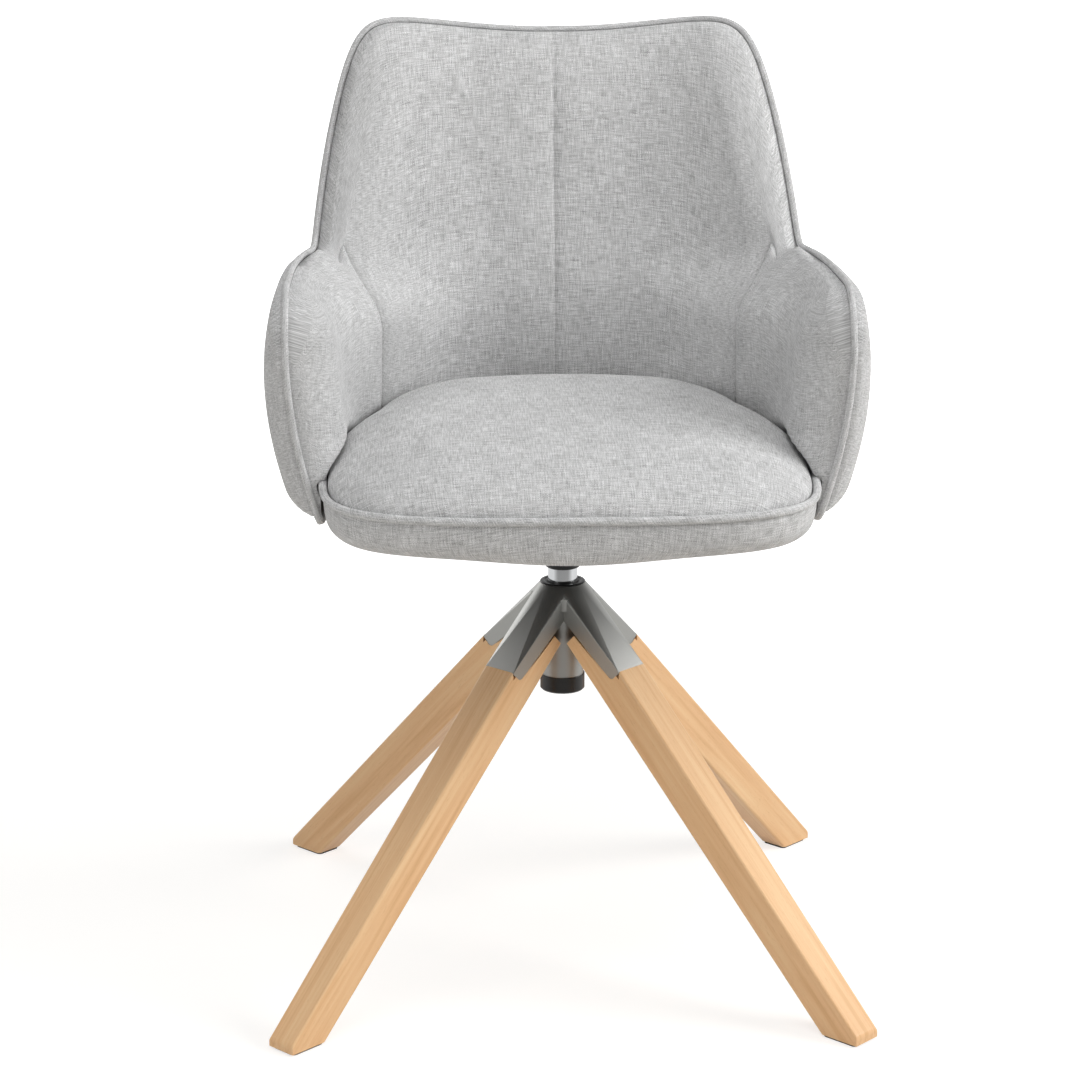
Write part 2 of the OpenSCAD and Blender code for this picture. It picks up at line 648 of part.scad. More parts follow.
module leg_washers() {
    color(steel) for (turn = leg_turns) on_diagonal(turn) for (s = bolt_reaches) at_bolt(s) {
        foot = -bolt_wood(s) + leg_bolt_sunk - leg_washer_t;
        translate([0, 0, foot]) difference() {
            cylinder(r = leg_head_r + 0.6, h = leg_washer_t, $fn = 32);
            translate([0, 0, -1]) cylinder(r = leg_bolt_r + slip, h = leg_washer_t + 2, $fn = 32);
        }
    }
}

// Column

module upper_bush() {
    color(black) rotate_extrude($fn = fine) polygon([
        [tube_r + slip, bush_top_z - bush_l], [seat_bore_r - snug, bush_top_z - bush_l],
        [seat_bore_r - snug, bush_top_z], [neck_r - 0.4, bush_top_z],
        [neck_r - 0.1, bush_top_z + flange_t*0.5], [neck_r - 0.6, bush_top_z + flange_t*0.85],
        [neck_r - 1.6, bush_top_z + flange_t], [seat_bore_r + 1, bush_top_z + flange_t],
        [seat_bore_r, bush_top_z + 0.6*flange_t], [tube_r + 1.4, bush_top_z + 0.6*flange_t],
        [tube_r + 0.9, bush_top_z + flange_t + flange_lip],
        [tube_r + slip, bush_top_z + flange_t + flange_lip]]);
}

module lower_bush() {
    color(black) translate([0, 0, tube_foot_z]) difference() {
        cylinder(r = seat_bore_r - snug, h = bush_l, $fn = fine);
        translate([0, 0, -1]) cylinder(r = tube_r + slip, h = bush_l + 2, $fn = fine);
    }
}

module thrust_washer() {
    color("ivory") translate([0, 0, thrust_z]) difference() {
        cylinder(r = seat_bore_r - snug, h = thrust_t, $fn = fine);
        translate([0, 0, -1]) cylinder(r = keeper_r + 0.6, h = thrust_t + 2, $fn = fine);
    }
}

module end_cap() {
    wall = 2;
    spigot_r = seat_bore_r - snug;
    top = barrel_z + cap_skirt;
    color(black) rotate_extrude($fn = fine) polygon([
        [0, cap_z], [cap_r - 1.5, cap_z], [cap_r, cap_z + 1.5], [cap_r, top],
        [barrel_r + snug, top], [barrel_r + snug, barrel_z], [spigot_r, barrel_z],
        [spigot_r, barrel_z + 7], [spigot_r - wall, barrel_z + 7],
        [spigot_r - wall, cap_z + wall], [0, cap_z + wall]]);
}

module column_tube() {
    color(steel) translate([0, 0, tube_foot_z]) difference() {
        cylinder(r = tube_r, h = tube_top_z - tube_foot_z, $fn = fine);
        translate([0, 0, -1])
            cylinder(r = tube_r - tube_wall, h = tube_top_z - tube_foot_z + 2, $fn = fine);
    }
}

module tube_plug() {
    color(metal) translate([0, 0, tube_foot_z]) difference() {
        cylinder(r = tube_r - tube_wall - snug, h = plug_l, $fn = fine);
        translate([0, 0, -1]) cylinder(r = keeper_r + slip, h = plug_l + 2, $fn = fine);
    }
}

module keeper_washer() {
    color(steel) translate([0, 0, inner_floor_z - keeper_gap - keeper_washer_t]) difference() {
        cylinder(r = keeper_washer_r, h = keeper_washer_t, $fn = fine);
        translate([0, 0, -1]) cylinder(r = keeper_r + slip, h = keeper_washer_t + 2, $fn = fine);
    }
}

module keeper_bolt() {
    seat = inner_floor_z - keeper_gap - keeper_washer_t;
    color(steel) union() {
        translate([0, 0, seat]) cylinder(r = keeper_r, h = tube_foot_z + plug_l - 2 - seat, $fn = fine);
        translate([0, 0, seat - keeper_head_h]) cylinder(r = 7.5, h = keeper_head_h, $fn = 6);
    }
}

// Seat frame

plate_bolts_at = [for (x = [-1, 1]) for (y = [-1, 1]) [x*plate_pitch_x/2, y*plate_pitch_y/2]];
socket_top_r = socket_r + 8;
module seat_plate() {
    corner = 16;
    color(black) difference() {
        union() {
            translate([0, 0, plate_z]) linear_extrude(plate_t) union() {
                square([plate_w, plate_d - 2*corner], center = true);
                square([plate_w - 2*corner, plate_d], center = true);
                for (x = [-1, 1]) for (y = [-1, 1])
                    translate([x*(plate_w/2 - corner), y*(plate_d/2 - corner)]) circle(corner, $fn = 32);
            }
            rotate_extrude($fn = fine) polygon([
                [0, socket_z], [socket_r - 2.4, socket_z], [socket_r - 0.8, socket_z + 0.8],
                [socket_r, socket_z + 2.6],
                [socket_r, plate_z - 24], [socket_top_r, plate_z - 4], [socket_top_r + 8, plate_z],
                [0, plate_z]]);
            for (k = [0 : 3]) rotate([0, 0, 45 + 90*k]) rib();
            plate_rail(1);
            plate_rail(-1);
        }
        translate([0, 0, socket_z - 1]) cylinder(r = tube_r + snug, h = tube_top_z - socket_z + 1, $fn = fine);
        for (p = plate_bolts_at) translate([p[0], p[1], plate_z - 1])
            cylinder(r = plate_bolt_r + bolt_gap, h = plate_t + 2, $fn = 32);
    }
}
// Stiffening rib from the socket to a corner of the plate
module rib() {
    across([[socket_r - 1, plate_z + 0.5], [socket_r - 1, plate_z - 30], [socket_r + 3, plate_z - 30],
        [socket_r + 58, plate_z - 5], [socket_r + 58, plate_z + 0.5]], 2);
}
// Turned-down edge along a side of the plate
module plate_rail(side) {
    translate([side*(plate_w/2 - 1.5) - 1.5, -plate_d/2 + 18, plate_z - 9])
        cube([3, plate_d - 36, 9.5]);
}

module plate_bolts() {
    seat = plate_z - 1.4;
    color(steel) for (p = plate_bolts_at) translate([p[0], p[1], 0]) difference() {
        union() {
            translate([0, 0, seat]) cylinder(r = plate_bolt_r, h = board_z + board_t - 3 - seat, $fn = 32);
            translate([0, 0, seat]) rotate([180, 0, 0]) rotate_extrude($fn = 32)
                polygon([[0, 0], [6, 0], [6, 1.2], [4.2, 3.6], [0, 3.6]]);
        }
        translate([0, 0, seat - 5]) cylinder(r = 2.3, h = 3.6, $fn = 6);
    }
}

module plate_washers() {
    color(steel) for (p = plate_bolts_at) translate([p[0], p[1], plate_z - 1.4]) difference() {
        cylinder(r = 7, h = 1.4, $fn = 32);
        translate([0, 0, -1]) cylinder(r = plate_bolt_r + slip, h = 4, $fn = 32);
    }
}

tee_r = 4.4;
tee_flange_r = 9.5;
tee_flange_t = 1.5;
tee_l = 11;
module tee_nuts() {
    top = board_z + board_t;
    color(steel) for (p = plate_bolts_at) translate([p[0], p[1], 0]) difference() {
        union() {
            translate([0, 0, top - tee_l]) cylinder(r = tee_r, h = tee_l, $fn = 32);
            translate([0, 0, top - tee_flange_t]) cylinder(r = tee_flange_r, h = tee_flange_t, $fn = 32);
        }
        translate([0, 0, top - tee_l - 1]) cylinder(r = plate_bolt_r + slip, h = tee_l + 2, $fn = 32);
    }
}

// Angles of the seat outline at even steps
function outline_turns(n) = [for (k = [0 : n - 1]) 360*k/n];
// The border tucks under more at the sides and most at the corners
function tuck_at(t) = tuck*(1 + 0.4*pow(sin(t), 2) + 1.6*pow(sin(2*t), 2));
board_gap = 3;
function board_edge(t, inset) = seat_edge(t, tuck_at(t) + board_gap + inset);
module board_outline(inset, n) polygon([for (t = outline_turns(n)) board_edge(t, inset)]);

screw_turns = [for (k = [0 : ring_screws_side - 1]) 8 + 80*k/(ring_screws_side - 1)];
screw_r = 2;
screw_head_r = 4;
screws_at = [for (side = [-1, 1]) for (t = screw_turns) let (p = board_edge(t, ring_lap/2)) [side*p[0], p[1]]];

module seat_board() {
    color(ply) difference() {
        translate([0, 0, board_z]) linear_extrude(board_t) board_outline(0, seat_steps);
        for (p = plate_bolts_at) translate([p[0], p[1], 0]) {
            translate([0, 0, board_z - 1]) cylinder(r = tee_r + slip, h = board_t + 2, $fn = 32);
            translate([0, 0, board_z + board_t - tee_flange_t])
                cylinder(r = tee_flange_r + slip, h = 5, $fn = 32);
        }
        for (p = screws_at) translate([p[0], p[1], board_z - 1])
            cylinder(r = screw_r + slip, h = 12, $fn = 24);
    }
}

// Steel ring, open at the front, that carries the tub and laps under the board
ring_steps = 40;
function ring_outer(side) = [for (k = [0 : ring_steps])
    let (q = rise_q*k/ring_steps, p = tub_point(q, base_z, shell_t/2, side)) [p[0], p[1]]];
ring_end_t = 76;
function ring_inner(side) = [for (k = [0 : ring_steps])
    let (p = board_edge(ring_end_t*k/ring_steps, ring_lap)) [side*p[0], p[1]]];
function backwards(l) = [for (k = [len(l) - 1 : -1 : 0]) l[k]];
function tail(l) = [for (k = [1 : len(l) - 1]) l[k]];
module tub_ring() {
    color(black) difference() {
        translate([0, 0, base_z - ring_t]) linear_extrude(ring_t) polygon(concat(
            backwards(ring_outer(1)), tail(ring_outer(-1)),
            backwards(ring_inner(-1)), tail(ring_inner(1))));
        for (p = screws_at) translate([p[0], p[1], base_z - ring_t - 1]) {
            cylinder(r = screw_r + bolt_gap, h = ring_t + 2, $fn = 24);
            cylinder(r1 = screw_head_r + 1 + slip, r2 = screw_r + slip, h = 3, $fn = 24);
        }
    }
}

module ring_screws() {
    color(steel) for (p = screws_at) translate([p[0], p[1], base_z - ring_t]) union() {
        cylinder(r = screw_r, h = 12, $fn = 24);
        cylinder(r1 = screw_head_r, r2 = screw_r, h = 2, $fn = 24);
    }
}

module dust_cover() {
    color(black) difference() {
        translate([0, 0, base_z - ring_t - dust_t]) linear_extrude(dust_t) board_outline(20, seat_steps);
        translate([0, 0, base_z - ring_t - dust_t - 1]) linear_extrude(dust_t + 2)
            square([plate_w + 6, plate_d + 6], center = true);
    }
}

// Seat

seat_steps = 54;
pipe_sides = 6;
seat_turns = outline_turns(seat_steps);
// A row at a height that may follow the piping's line, as a share of the full rise
function wrap_row(inset, z, follow = 0) = [for (t = seat_turns)
    let (p = seat_edge(t, inset)) [p[0], p[1], z + follow*(seat_z(p[1]) - seat_line_z)]];
function tuck_row(share, z) = [for (t = seat_turns)
    let (p = seat_edge(t, border_inset + share*(tuck_at(t) - border_inset))) [p[0], p[1], z]];
// A closed solid from rows of points that each run once round the seat
module seat_rows(rows) {
    n = seat_steps;
    count = len(rows);
    polyhedron(
        points = [for (r = rows) each r],
        faces = [for (i = [0 : count - 1]) for (j = [0 : n - 1])
            let (a = i*n + j, b = i*n + (j + 1)%n,
                c = ((i + 1)%count)*n + j, d = ((i + 1)%count)*n + (j + 1)%n)
            each [[a, b, c], [b, d, c]]]);
}

function board_row(z) = [for (t = seat_turns)
    let (p = board_edge(t, -free)) [p[0], p[1], z]];
foam_inset = 13;
border_inset = 4;
// Heights at which the border's curve passes from the tuck to its upright side
tuck_low = 5;
tuck_mid = 15;
tuck_high = 31;
module seat_border() {
    top = seat_line_z - seat_pipe_r - free;
    bottom = board_z + free;
    shelf = board_z + board_t + free;
    color(cloth) seat_rows([
        tuck_row(1, bottom),
        tuck_row(0.5, bottom + tuck_low),
        tuck_row(0.13, bottom + tuck_mid),
        wrap_row(border_inset, bottom + tuck_high, 0.5),
        wrap_row(border_inset + 0.6, top, 1),
        wrap_row(foam_inset - free, top, 1),
        wrap_row(foam_inset - free, shelf),
        board_row(shelf),
        board_row(bottom)]);
}

// The cushion's top: rings that shrink towards the middle while the crown rises
crown_rings = 10;
function crown_rise(s) = crown_h*sqrt(1 - pow(s, 3.4));
centre_y = -30;
crown_inset = 2*seat_pipe_r + 0.4;
function crown_row(s) = [for (t = seat_turns)
    let (p = seat_edge(t, crown_inset), x = p[0]*s, y = centre_y + (p[1] - centre_y)*s)
    [x, y, seat_z(y) + crown_rise(s)]];
module seat_cushion() {
    n = seat_steps;
    top = seat_line_z - seat_pipe_r;
    bottom = board_z + board_t + free;
    rows = concat([
        wrap_row(foam_inset, bottom),
        wrap_row(foam_inset, top, 1),
        wrap_row(crown_inset, top, 1)],
        [for (k = [0 : crown_rings - 1]) crown_row(cos(90*k/crown_rings))]);
    count = len(rows);
    last = count*n;
    color(cloth) polyhedron(
        points = concat([for (r = rows) each r],
            [[0, centre_y, seat_z(centre_y) + crown_h], [0, centre_y, bottom]]),
        faces = concat(
            [for (i = [0 : count - 2]) for (j = [0 : n - 1])
                let (a = i*n + j, b = i*n + (j + 1)%n, c = a + n, d = b + n)
                each [[a, b, c], [b, d, c]]],
            [for (j = [0 : n - 1]) [(count - 1)*n + j, (count - 1)*n + (j + 1)%n, last]],
            [for (j = [0 : n - 1]) [(j + 1)%n, j, last + 1]]));
}

module seat_piping() {
    path = [for (t = seat_turns) let (p = seat_edge(t, seat_pipe_r)) [p[0], p[1], seat_z(p[1])]];
    ups = [for (t = seat_turns) [0, 0, 1]];
    color(cloth) swept_tube(path, ups, seat_pipe_r, pipe_sides, true);
}

// Tub

// The seam between back and arm leans forward near the rim, to end in the corner between them
seam_lean = bend_q*2.4/90;
function seam_at(v) = seam_q + seam_lean*smooth((v - 0.86)/0.14);
function lean(q, v) = let (s = seam_at(v)) q < seam_q ? q*s/seam_q : 1 - (1 - q)*(1 - s)/(1 - seam_q);

// Stations of half the back and of an arm, closest at the horn, the seam and the front corner
seam_gap = 0.0006;
corner_steps = 5;
back_turns = [0, 3, 8, 14, 19.5, 23.5, 26.5, 29, 31.5, 34, 37, 40, 42, 43.4, 44.3];
arm_turns = [46, 47.5, 50, 54, 60, 68, 78, 90];
back_half = concat([for (a = back_turns) bend_q*a/90], [seam_q - seam_gap]);
arm_stations = concat([seam_q + seam_gap], [for (a = arm_turns) bend_q*a/90],
    [for (k = [1 : corner_steps]) mix(bend_q, 1, k/corner_steps)]);
tub_half = concat(back_half, tail(arm_stations));
layer_steps = 10;
layer_rise = [for (k = [0 : layer_steps])
    let (t = k/layer_steps) mix(pow(t, 1.5), 1 - pow(1 - t, 2), t)];

// Points of one row of a layer at the given stations; kind picks the surface
pad_rise = foot_rise - 3;
function pad_foot(q) = base_z + free + pad_rise*smooth((q - rise_q)/(1 - rise_q));
function layer_foot(kind, q) = kind == "pad" || kind == "pad_back" ? pad_foot(q) :
    kind == "cover" || kind == "cover_back" ? foot_z(q) + free : foot_z(q);
function layer_off(kind, q, z) = kind == "pad" ? in_off(q, z) :
    kind == "pad_back" ? -shell_t/2 - free :
    kind == "cover" ? out_off(q, z) :
    kind == "cover_back" ? shell_t/2 + free :
    kind == "shell_out" ? shell_t/2 : -shell_t/2;
function layer_row(kind, v, stations, side) = [for (k = stations)
    let (q = lean(k, v), z = mix(layer_foot(kind, q), edge_z(q, layer_edge), v),
        p = tub_point(q, z, layer_off(kind, q, z), side, layer_edge))
    kind == "pad" ? [p[0], p[1], z + dome(q, v)] : p];
function half_layer(kind, stations, side) = [for (v = layer_rise) layer_row(kind, v, stations, side)];
function whole_layer(kind, stations) = [for (v = layer_rise)
    concat(backwards(layer_row(kind, v, tail(stations), -1)), layer_row(kind, v, stations, 1))];

module tub_shell() {
    color(black) skin(whole_layer("shell_out", tub_half), whole_layer("shell_in", tub_half),
        mid = len(tub_half) - 1);
}
module back_pad() {
    color(cloth) skin(whole_layer("pad_back", back_half), whole_layer("pad", back_half),
        mid = len(back_half) - 1);
}
module back_cover() {
    color(cloth) skin(whole_layer("cover", back_half), whole_layer("cover_back", back_half),
        mid = len(back_half) - 1);
}
module arm_pad(side) {
    color(cloth) skin(half_layer("pad_back", arm_stations, side), half_layer("pad", arm_stations, side),
        side < 0);
}
module arm_cover(side) {
    color(cloth) skin(half_layer("cover", arm_stations, side), half_layer("cover_back", arm_stations, side),
        side < 0);
}

// Piping round the tub's whole rim, down both arm fronts and back along the lower edge
rim_low_z = base_z + foot_rise + 2.8;
drop_steps = 3;
rim_stations = [for (q = tub_half) lean(q, 1)];
under_stations = [0.954, 0.92, 0.88, 0.84, 0.8];
under_off = 0.6;
function out_dir(q, side) = q <= bend_q ?
    [side*sin(plan_angle(q)), cos(plan_angle(q)), 0] : [side, 0, 0];
function rim_half(side) = concat(
    [for (q = rim_stations) tub_point(q, edge_z(q, 0), 0, side)],
    [for (k = [1 : drop_steps]) tub_point(1, mix(edge_z(1, 0), rim_low_z, k/drop_steps), 0, side)],
    [tub_point(1, rim_low_z - 1.7*pipe_r, under_off/2, side, pipe_r/3)],
    [for (q = under_stations) tub_point(q, foot_z(q) - layer_edge - free, under_off, side)]);
function rim_ups(side) = concat(
    [for (q = rim_stations) out_dir(q, side)], [for (k = [0 : drop_steps]) [side, 0, 0]],
    [for (q = under_stations) out_dir(q, side)]);
module tub_piping() {
    color(cloth) swept_tube(concat(backwards(tail(rim_half(-1))), rim_half(1)),
        concat(backwards(tail(rim_ups(-1))), rim_ups(1)), pipe_r, pipe_sides);
}

module leg_front_left() leg(leg_turns[0]);
module leg_front_right() leg(leg_turns[1]);
module leg_rear_left() leg(leg_turns[2]);
module leg_rear_right() leg(leg_turns[3]);
module arm_pad_left() arm_pad(-1);
module arm_pad_right() arm_pad(1);
module arm_cover_left() arm_cover(-1);
module arm_cover_right() arm_cover(1);

hub_casting();
leg_front_left();
leg_front_right();
leg_rear_left();
leg_rear_right();
foot_glides();
leg_bolts();
leg_washers();
upper_bush();
lower_bush();
thrust_washer();
end_cap();
column_tube();
tube_plug();
keeper_bolt();
keeper_washer();
seat_plate();
plate_bolts();
plate_washers();
tee_nuts();
seat_board();
tub_ring();
ring_screws();
dust_cover();
seat_border();
seat_cushion();
seat_piping();
tub_shell();
back_pad();
arm_pad_left();
arm_pad_right();
back_cover();
arm_cover_left();
arm_cover_right();
tub_piping();
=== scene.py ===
import bmesh
import bpy
import json
import math
import numpy as np
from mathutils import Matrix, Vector

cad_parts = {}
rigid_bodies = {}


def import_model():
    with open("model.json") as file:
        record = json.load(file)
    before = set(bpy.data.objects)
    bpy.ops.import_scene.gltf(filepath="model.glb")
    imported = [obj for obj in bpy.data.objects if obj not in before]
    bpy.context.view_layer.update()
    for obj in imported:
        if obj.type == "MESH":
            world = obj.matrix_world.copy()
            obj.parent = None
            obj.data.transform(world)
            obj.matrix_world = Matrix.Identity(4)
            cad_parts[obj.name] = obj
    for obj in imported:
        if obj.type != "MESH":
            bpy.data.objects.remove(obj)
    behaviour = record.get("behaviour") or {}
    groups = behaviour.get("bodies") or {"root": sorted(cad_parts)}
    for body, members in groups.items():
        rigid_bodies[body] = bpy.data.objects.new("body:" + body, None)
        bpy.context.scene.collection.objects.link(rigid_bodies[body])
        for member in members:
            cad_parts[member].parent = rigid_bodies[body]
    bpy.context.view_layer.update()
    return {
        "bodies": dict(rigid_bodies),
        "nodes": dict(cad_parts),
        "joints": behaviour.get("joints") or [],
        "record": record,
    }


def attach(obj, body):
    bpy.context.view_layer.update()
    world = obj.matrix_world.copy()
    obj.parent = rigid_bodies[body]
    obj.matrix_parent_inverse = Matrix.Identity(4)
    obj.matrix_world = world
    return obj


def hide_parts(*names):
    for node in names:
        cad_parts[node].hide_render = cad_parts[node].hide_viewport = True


# Swivel armchair: padded grey tub seat with piping, cast hub, four beech legs.
# Shapes are worked out in millimetres and put into the meshes in metres.
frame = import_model()
nodes = frame["nodes"]
mm = 0.001
print("frame loaded,", len(nodes), "nodes")

# Camera, fitted to the photograph
cameraPlace = {"spot": (-0.1246, -2.7215, 1.1351), "yaw": 2.07, "pitch": 15.0, "lens": 100.466}
cameraData = bpy.data.cameras.new("camera")
cameraData.lens = cameraPlace["lens"]
cameraData.sensor_width = 36
cameraData.clip_end = 60
camera = bpy.data.objects.new("camera", cameraData)
camera.location = cameraPlace["spot"]
camera.rotation_euler = (math.radians(90 - cameraPlace["pitch"]), 0, -math.radians(cameraPlace["yaw"]))
bpy.context.collection.objects.link(camera)
bpy.context.scene.camera = camera
bpy.context.scene.view_settings.view_transform = "Standard"


# Small tools
def smoothStep(t):  # 0 to 1 with level ends
    t = np.clip(t, 0, 1)
    return t * t * (3 - 2 * t)


def mix(a, b, t):  # a + (b - a) t
    return a + (b - a) * t


def softMin(a, b, k):  # the lower of a and b, rounded over about k: (a + b - sqrt((a - b)^2 + k^2)) / 2
    return (a + b - np.sqrt((a - b) ** 2 + k * k)) / 2


def softMax(a, b, k):  # the higher of a and b, rounded likewise
    return (a + b + np.sqrt((a - b) ** 2 + k * k)) / 2


def swell(gap, length):  # quarter of an ellipse, sqrt(1 - (1 - gap / length)^2), then 1
    return np.sqrt(np.clip(1 - (1 - np.clip(gap / length, 0, 1)) ** 2, 0, None))


def dent(d, w):  # bell curve exp(-(d / w)^2)
    return np.exp(-(d / w) ** 2)


def quadGrid(rows, cols, wrapRows=False, wrapCols=False):
    # four corners of every cell of a grid of points stored row by row
    i, j = np.meshgrid(np.arange(rows - (not wrapRows)), np.arange(cols - (not wrapCols)), indexing="ij")
    i2, j2 = (i + 1) % rows, (j + 1) % cols
    return np.stack([i * cols + j, i * cols + j2, i2 * cols + j2, i2 * cols + j], -1).reshape(-1, 4)


def volumeOf(points, quads):  # sum of signed tetrahedra, positive when faces point outwards
    a, b, c, d = (points[quads[:, k]] for k in range(4))
    return (np.einsum("ij,ij->i", a, np.cross(b, c)) + np.einsum("ij,ij->i", a, np.cross(c, d))).sum() / 6


def makePiece(name, points, quads, cloth=None, around=0.0, sharp=50):
    # points in millimetres, quads as an array, turned outwards; cloth holds each point's place on the
    # flat fabric, and around is the fabric's length round a closed ring, after which it starts again
    if volumeOf(points, quads) < 0:
        quads = quads[:, ::-1]
    mesh = bpy.data.meshes.new(name)
    mesh.vertices.add(len(points))
    mesh.vertices.foreach_set("co", (points * mm).astype(np.float32).ravel())
    mesh.loops.add(quads.size)
    mesh.loops.foreach_set("vertex_index", quads.astype(np.int32).ravel())
    mesh.polygons.add(len(quads))
    mesh.polygons.foreach_set("loop_start", np.arange(0, quads.size, 4, dtype=np.int32))
    mesh.update(calc_edges=True)
    mesh.validate()
    piece = bpy.data.objects.new(name, mesh)
    bpy.context.collection.objects.link(piece)
    mesh.shade_smooth()
    mesh.set_sharp_from_angle(angle=math.radians(sharp))
    if cloth is not None:
        layClothOn(mesh, cloth, quads, around)
    return piece


def layClothOn(mesh, cloth, quads, around=0.0):
    # writes the UV map "cloth", in metres of fabric; where a ring closes, the last face runs on
    uv = cloth[quads]
    if around:
        low = uv[..., 0].max(1, keepdims=True) - uv[..., 0] > around / 2
        uv[..., 0] += around * low
    mesh.uv_layers.new(name="cloth").uv.foreach_set("vector", (uv * mm).astype(np.float32).ravel())


def spreadCloth(grid, startColumn=0):
    # flattens a grid of points to fabric: V is the height of a column's foot plus the length up the
    # column, and U the length along each row, so that threads run level and upright
    rise = np.linalg.norm(np.diff(grid, axis=0), axis=-1)
    v = grid[:1, :, 2] + np.concatenate([np.zeros_like(rise[:1]), np.cumsum(rise, 0)])
    step = np.linalg.norm(np.diff(grid, axis=1), axis=-1)
    u = np.concatenate([np.zeros_like(step[:, :1]), np.cumsum(step, 1)], 1)
    return np.stack([u - u[:, startColumn:startColumn + 1], v], -1)


def skinCloth(outer, inner, startColumn=0):  # fabric for closedSkin's points
    sheets = [spreadCloth(outer, startColumn), spreadCloth(inner, startColumn)[::-1]]
    return np.concatenate(sheets).reshape(-1, 2)


def closedSkin(outer, inner):
    # two grids of equal size joined along all four sides into one closed wall
    rows, cols = outer.shape[:2]
    points = np.concatenate([outer, inner[::-1]]).reshape(-1, 3)
    around = quadGrid(2 * rows, cols, wrapRows=True)
    k = np.arange(rows - 1)
    far = 2 * rows - 1 - k
    ends = [np.stack([k * cols, (k + 1) * cols, (far - 1) * cols, far * cols], -1),
            np.stack([(k + 1) * cols, k * cols, far * cols, (far - 1) * cols], -1) + cols - 1]
    return points, np.concatenate([around] + ends)


def sweptTube(path, up, radius, sides, closed=False):
    # circles square to a path of points; up is the direction that stays above each circle
    path = np.asarray(path, float)
    if closed:
        along = np.roll(path, -1, 0) - np.roll(path, 1, 0)
    else:
        along = np.gradient(path, axis=0)
    along /= np.linalg.norm(along, axis=1, keepdims=True)
    across = np.cross(along, up)
    across /= np.linalg.norm(across, axis=1, keepdims=True)
    over = np.cross(across, along)
    turn = np.linspace(0, 2 * np.pi, sides, endpoint=False)[None, :, None]
    radius = np.broadcast_to(np.asarray(radius, float), (len(path),))[:, None, None]
    rings = path[:, None] + radius * (np.cos(turn) * across[:, None] + np.sin(turn) * over[:, None])
    points = rings.reshape(-1, 3)
    quads = quadGrid(len(path), sides, wrapRows=closed, wrapCols=True)
    if not closed:  # each end is closed by quads across the circle
        k = np.arange(sides // 2 - 1)
        for start in (0, (len(path) - 1) * sides):
            cap = np.stack([k, k + 1, sides - 2 - k, sides - 1 - k], -1) + start
            quads = np.concatenate([quads, cap if start else cap[:, ::-1]])
    return points, quads


def runAlong(path):  # length of the path up to each point
    steps = np.linalg.norm(np.diff(path, axis=0), axis=1)
    return np.concatenate([[0], np.cumsum(steps)])


def ripple(s, seed, longest=46.0, count=7):
    # small uneven waves along a seam: a sum of sines of falling wavelength, between about -1 and 1
    dice = np.random.default_rng(seed)
    waves = longest * 0.72 ** np.arange(count)
    phases = dice.uniform(0, 2 * np.pi, count)
    heights = dice.uniform(0.4, 1, count) * waves ** 0.35
    return (heights * np.sin(2 * np.pi * np.asarray(s)[..., None] / waves + phases)).sum(-1) / heights.sum()


# Materials
def linearColour(code):  # sRGB hex to the linear values that Blender works in
    rgb = [int(code[k:k + 2], 16) / 255 for k in (1, 3, 5)]
    return tuple(c / 12.92 if c <= 0.04045 else ((c + 0.055) / 1.055) ** 2.4 for c in rgb) + (1.0,)


def addNode(tree, kind, inputs=None, **settings):  # a node with its settings, values and links
    node = tree.nodes.new(kind)
    stops = settings.pop("stops", [])   # places and colours of a colour ramp
    for key, value in settings.items():
        setattr(node, key, value)
    while stops and len(node.color_ramp.elements) < len(stops):
        node.color_ramp.elements.new(0.5)
    for k, (place, code) in enumerate(stops):
        node.color_ramp.elements[k].position = place
        node.color_ramp.elements[k].color = linearColour(code)
    for key, value in (inputs or {}).items():
        if isinstance(value, bpy.types.NodeSocket):
            tree.links.new(value, node.inputs[key])
        else:
            node.inputs[key].default_value = value
    return node


def newMaterial(name):  # a material with an empty node tree
    material = bpy.data.materials.new(name)
    material.use_nodes = True
    material.node_tree.nodes.clear()
    return material, material.node_tree


def closeMaterial(tree, surface, height=None, bumpDistance=0.0003, bumpStrength=0.5):
    # adds the fine relief, where there is one, and the output
    if height is not None:
        bump = addNode(tree, "ShaderNodeBump", {"Height": height, "Distance": bumpDistance,
                                                "Strength": bumpStrength})
        tree.links.new(bump.outputs[0], surface.inputs["Normal"])
    addNode(tree, "ShaderNodeOutputMaterial", {"Surface": surface.outputs[0]})


fabricLook = {
    "dark": "#828282", "middle": "#c3c3c3", "light": "#efefef",
    "threadPitch": 1.15,   # mm between threads; the real 0.6 mm weave would not show at this distance
    "slubLength": 15.0,    # mm, length of a thicker stretch of yarn
    "slubWidth": 1.25,     # mm, width of such a stretch
    "cloudSize": 35.7,     # mm, size of the faint lighter and darker patches
    "weftShift": (37.3, 11.7, 0),   # keeps the weft's slubs from repeating the warp's
    "yarnShare": 0.72, "fibreShare": 0.20, "cloudShare": 0.08,   # what each adds to the tone
    "bumpHeight": 0.6, "bump": 0.35,
}


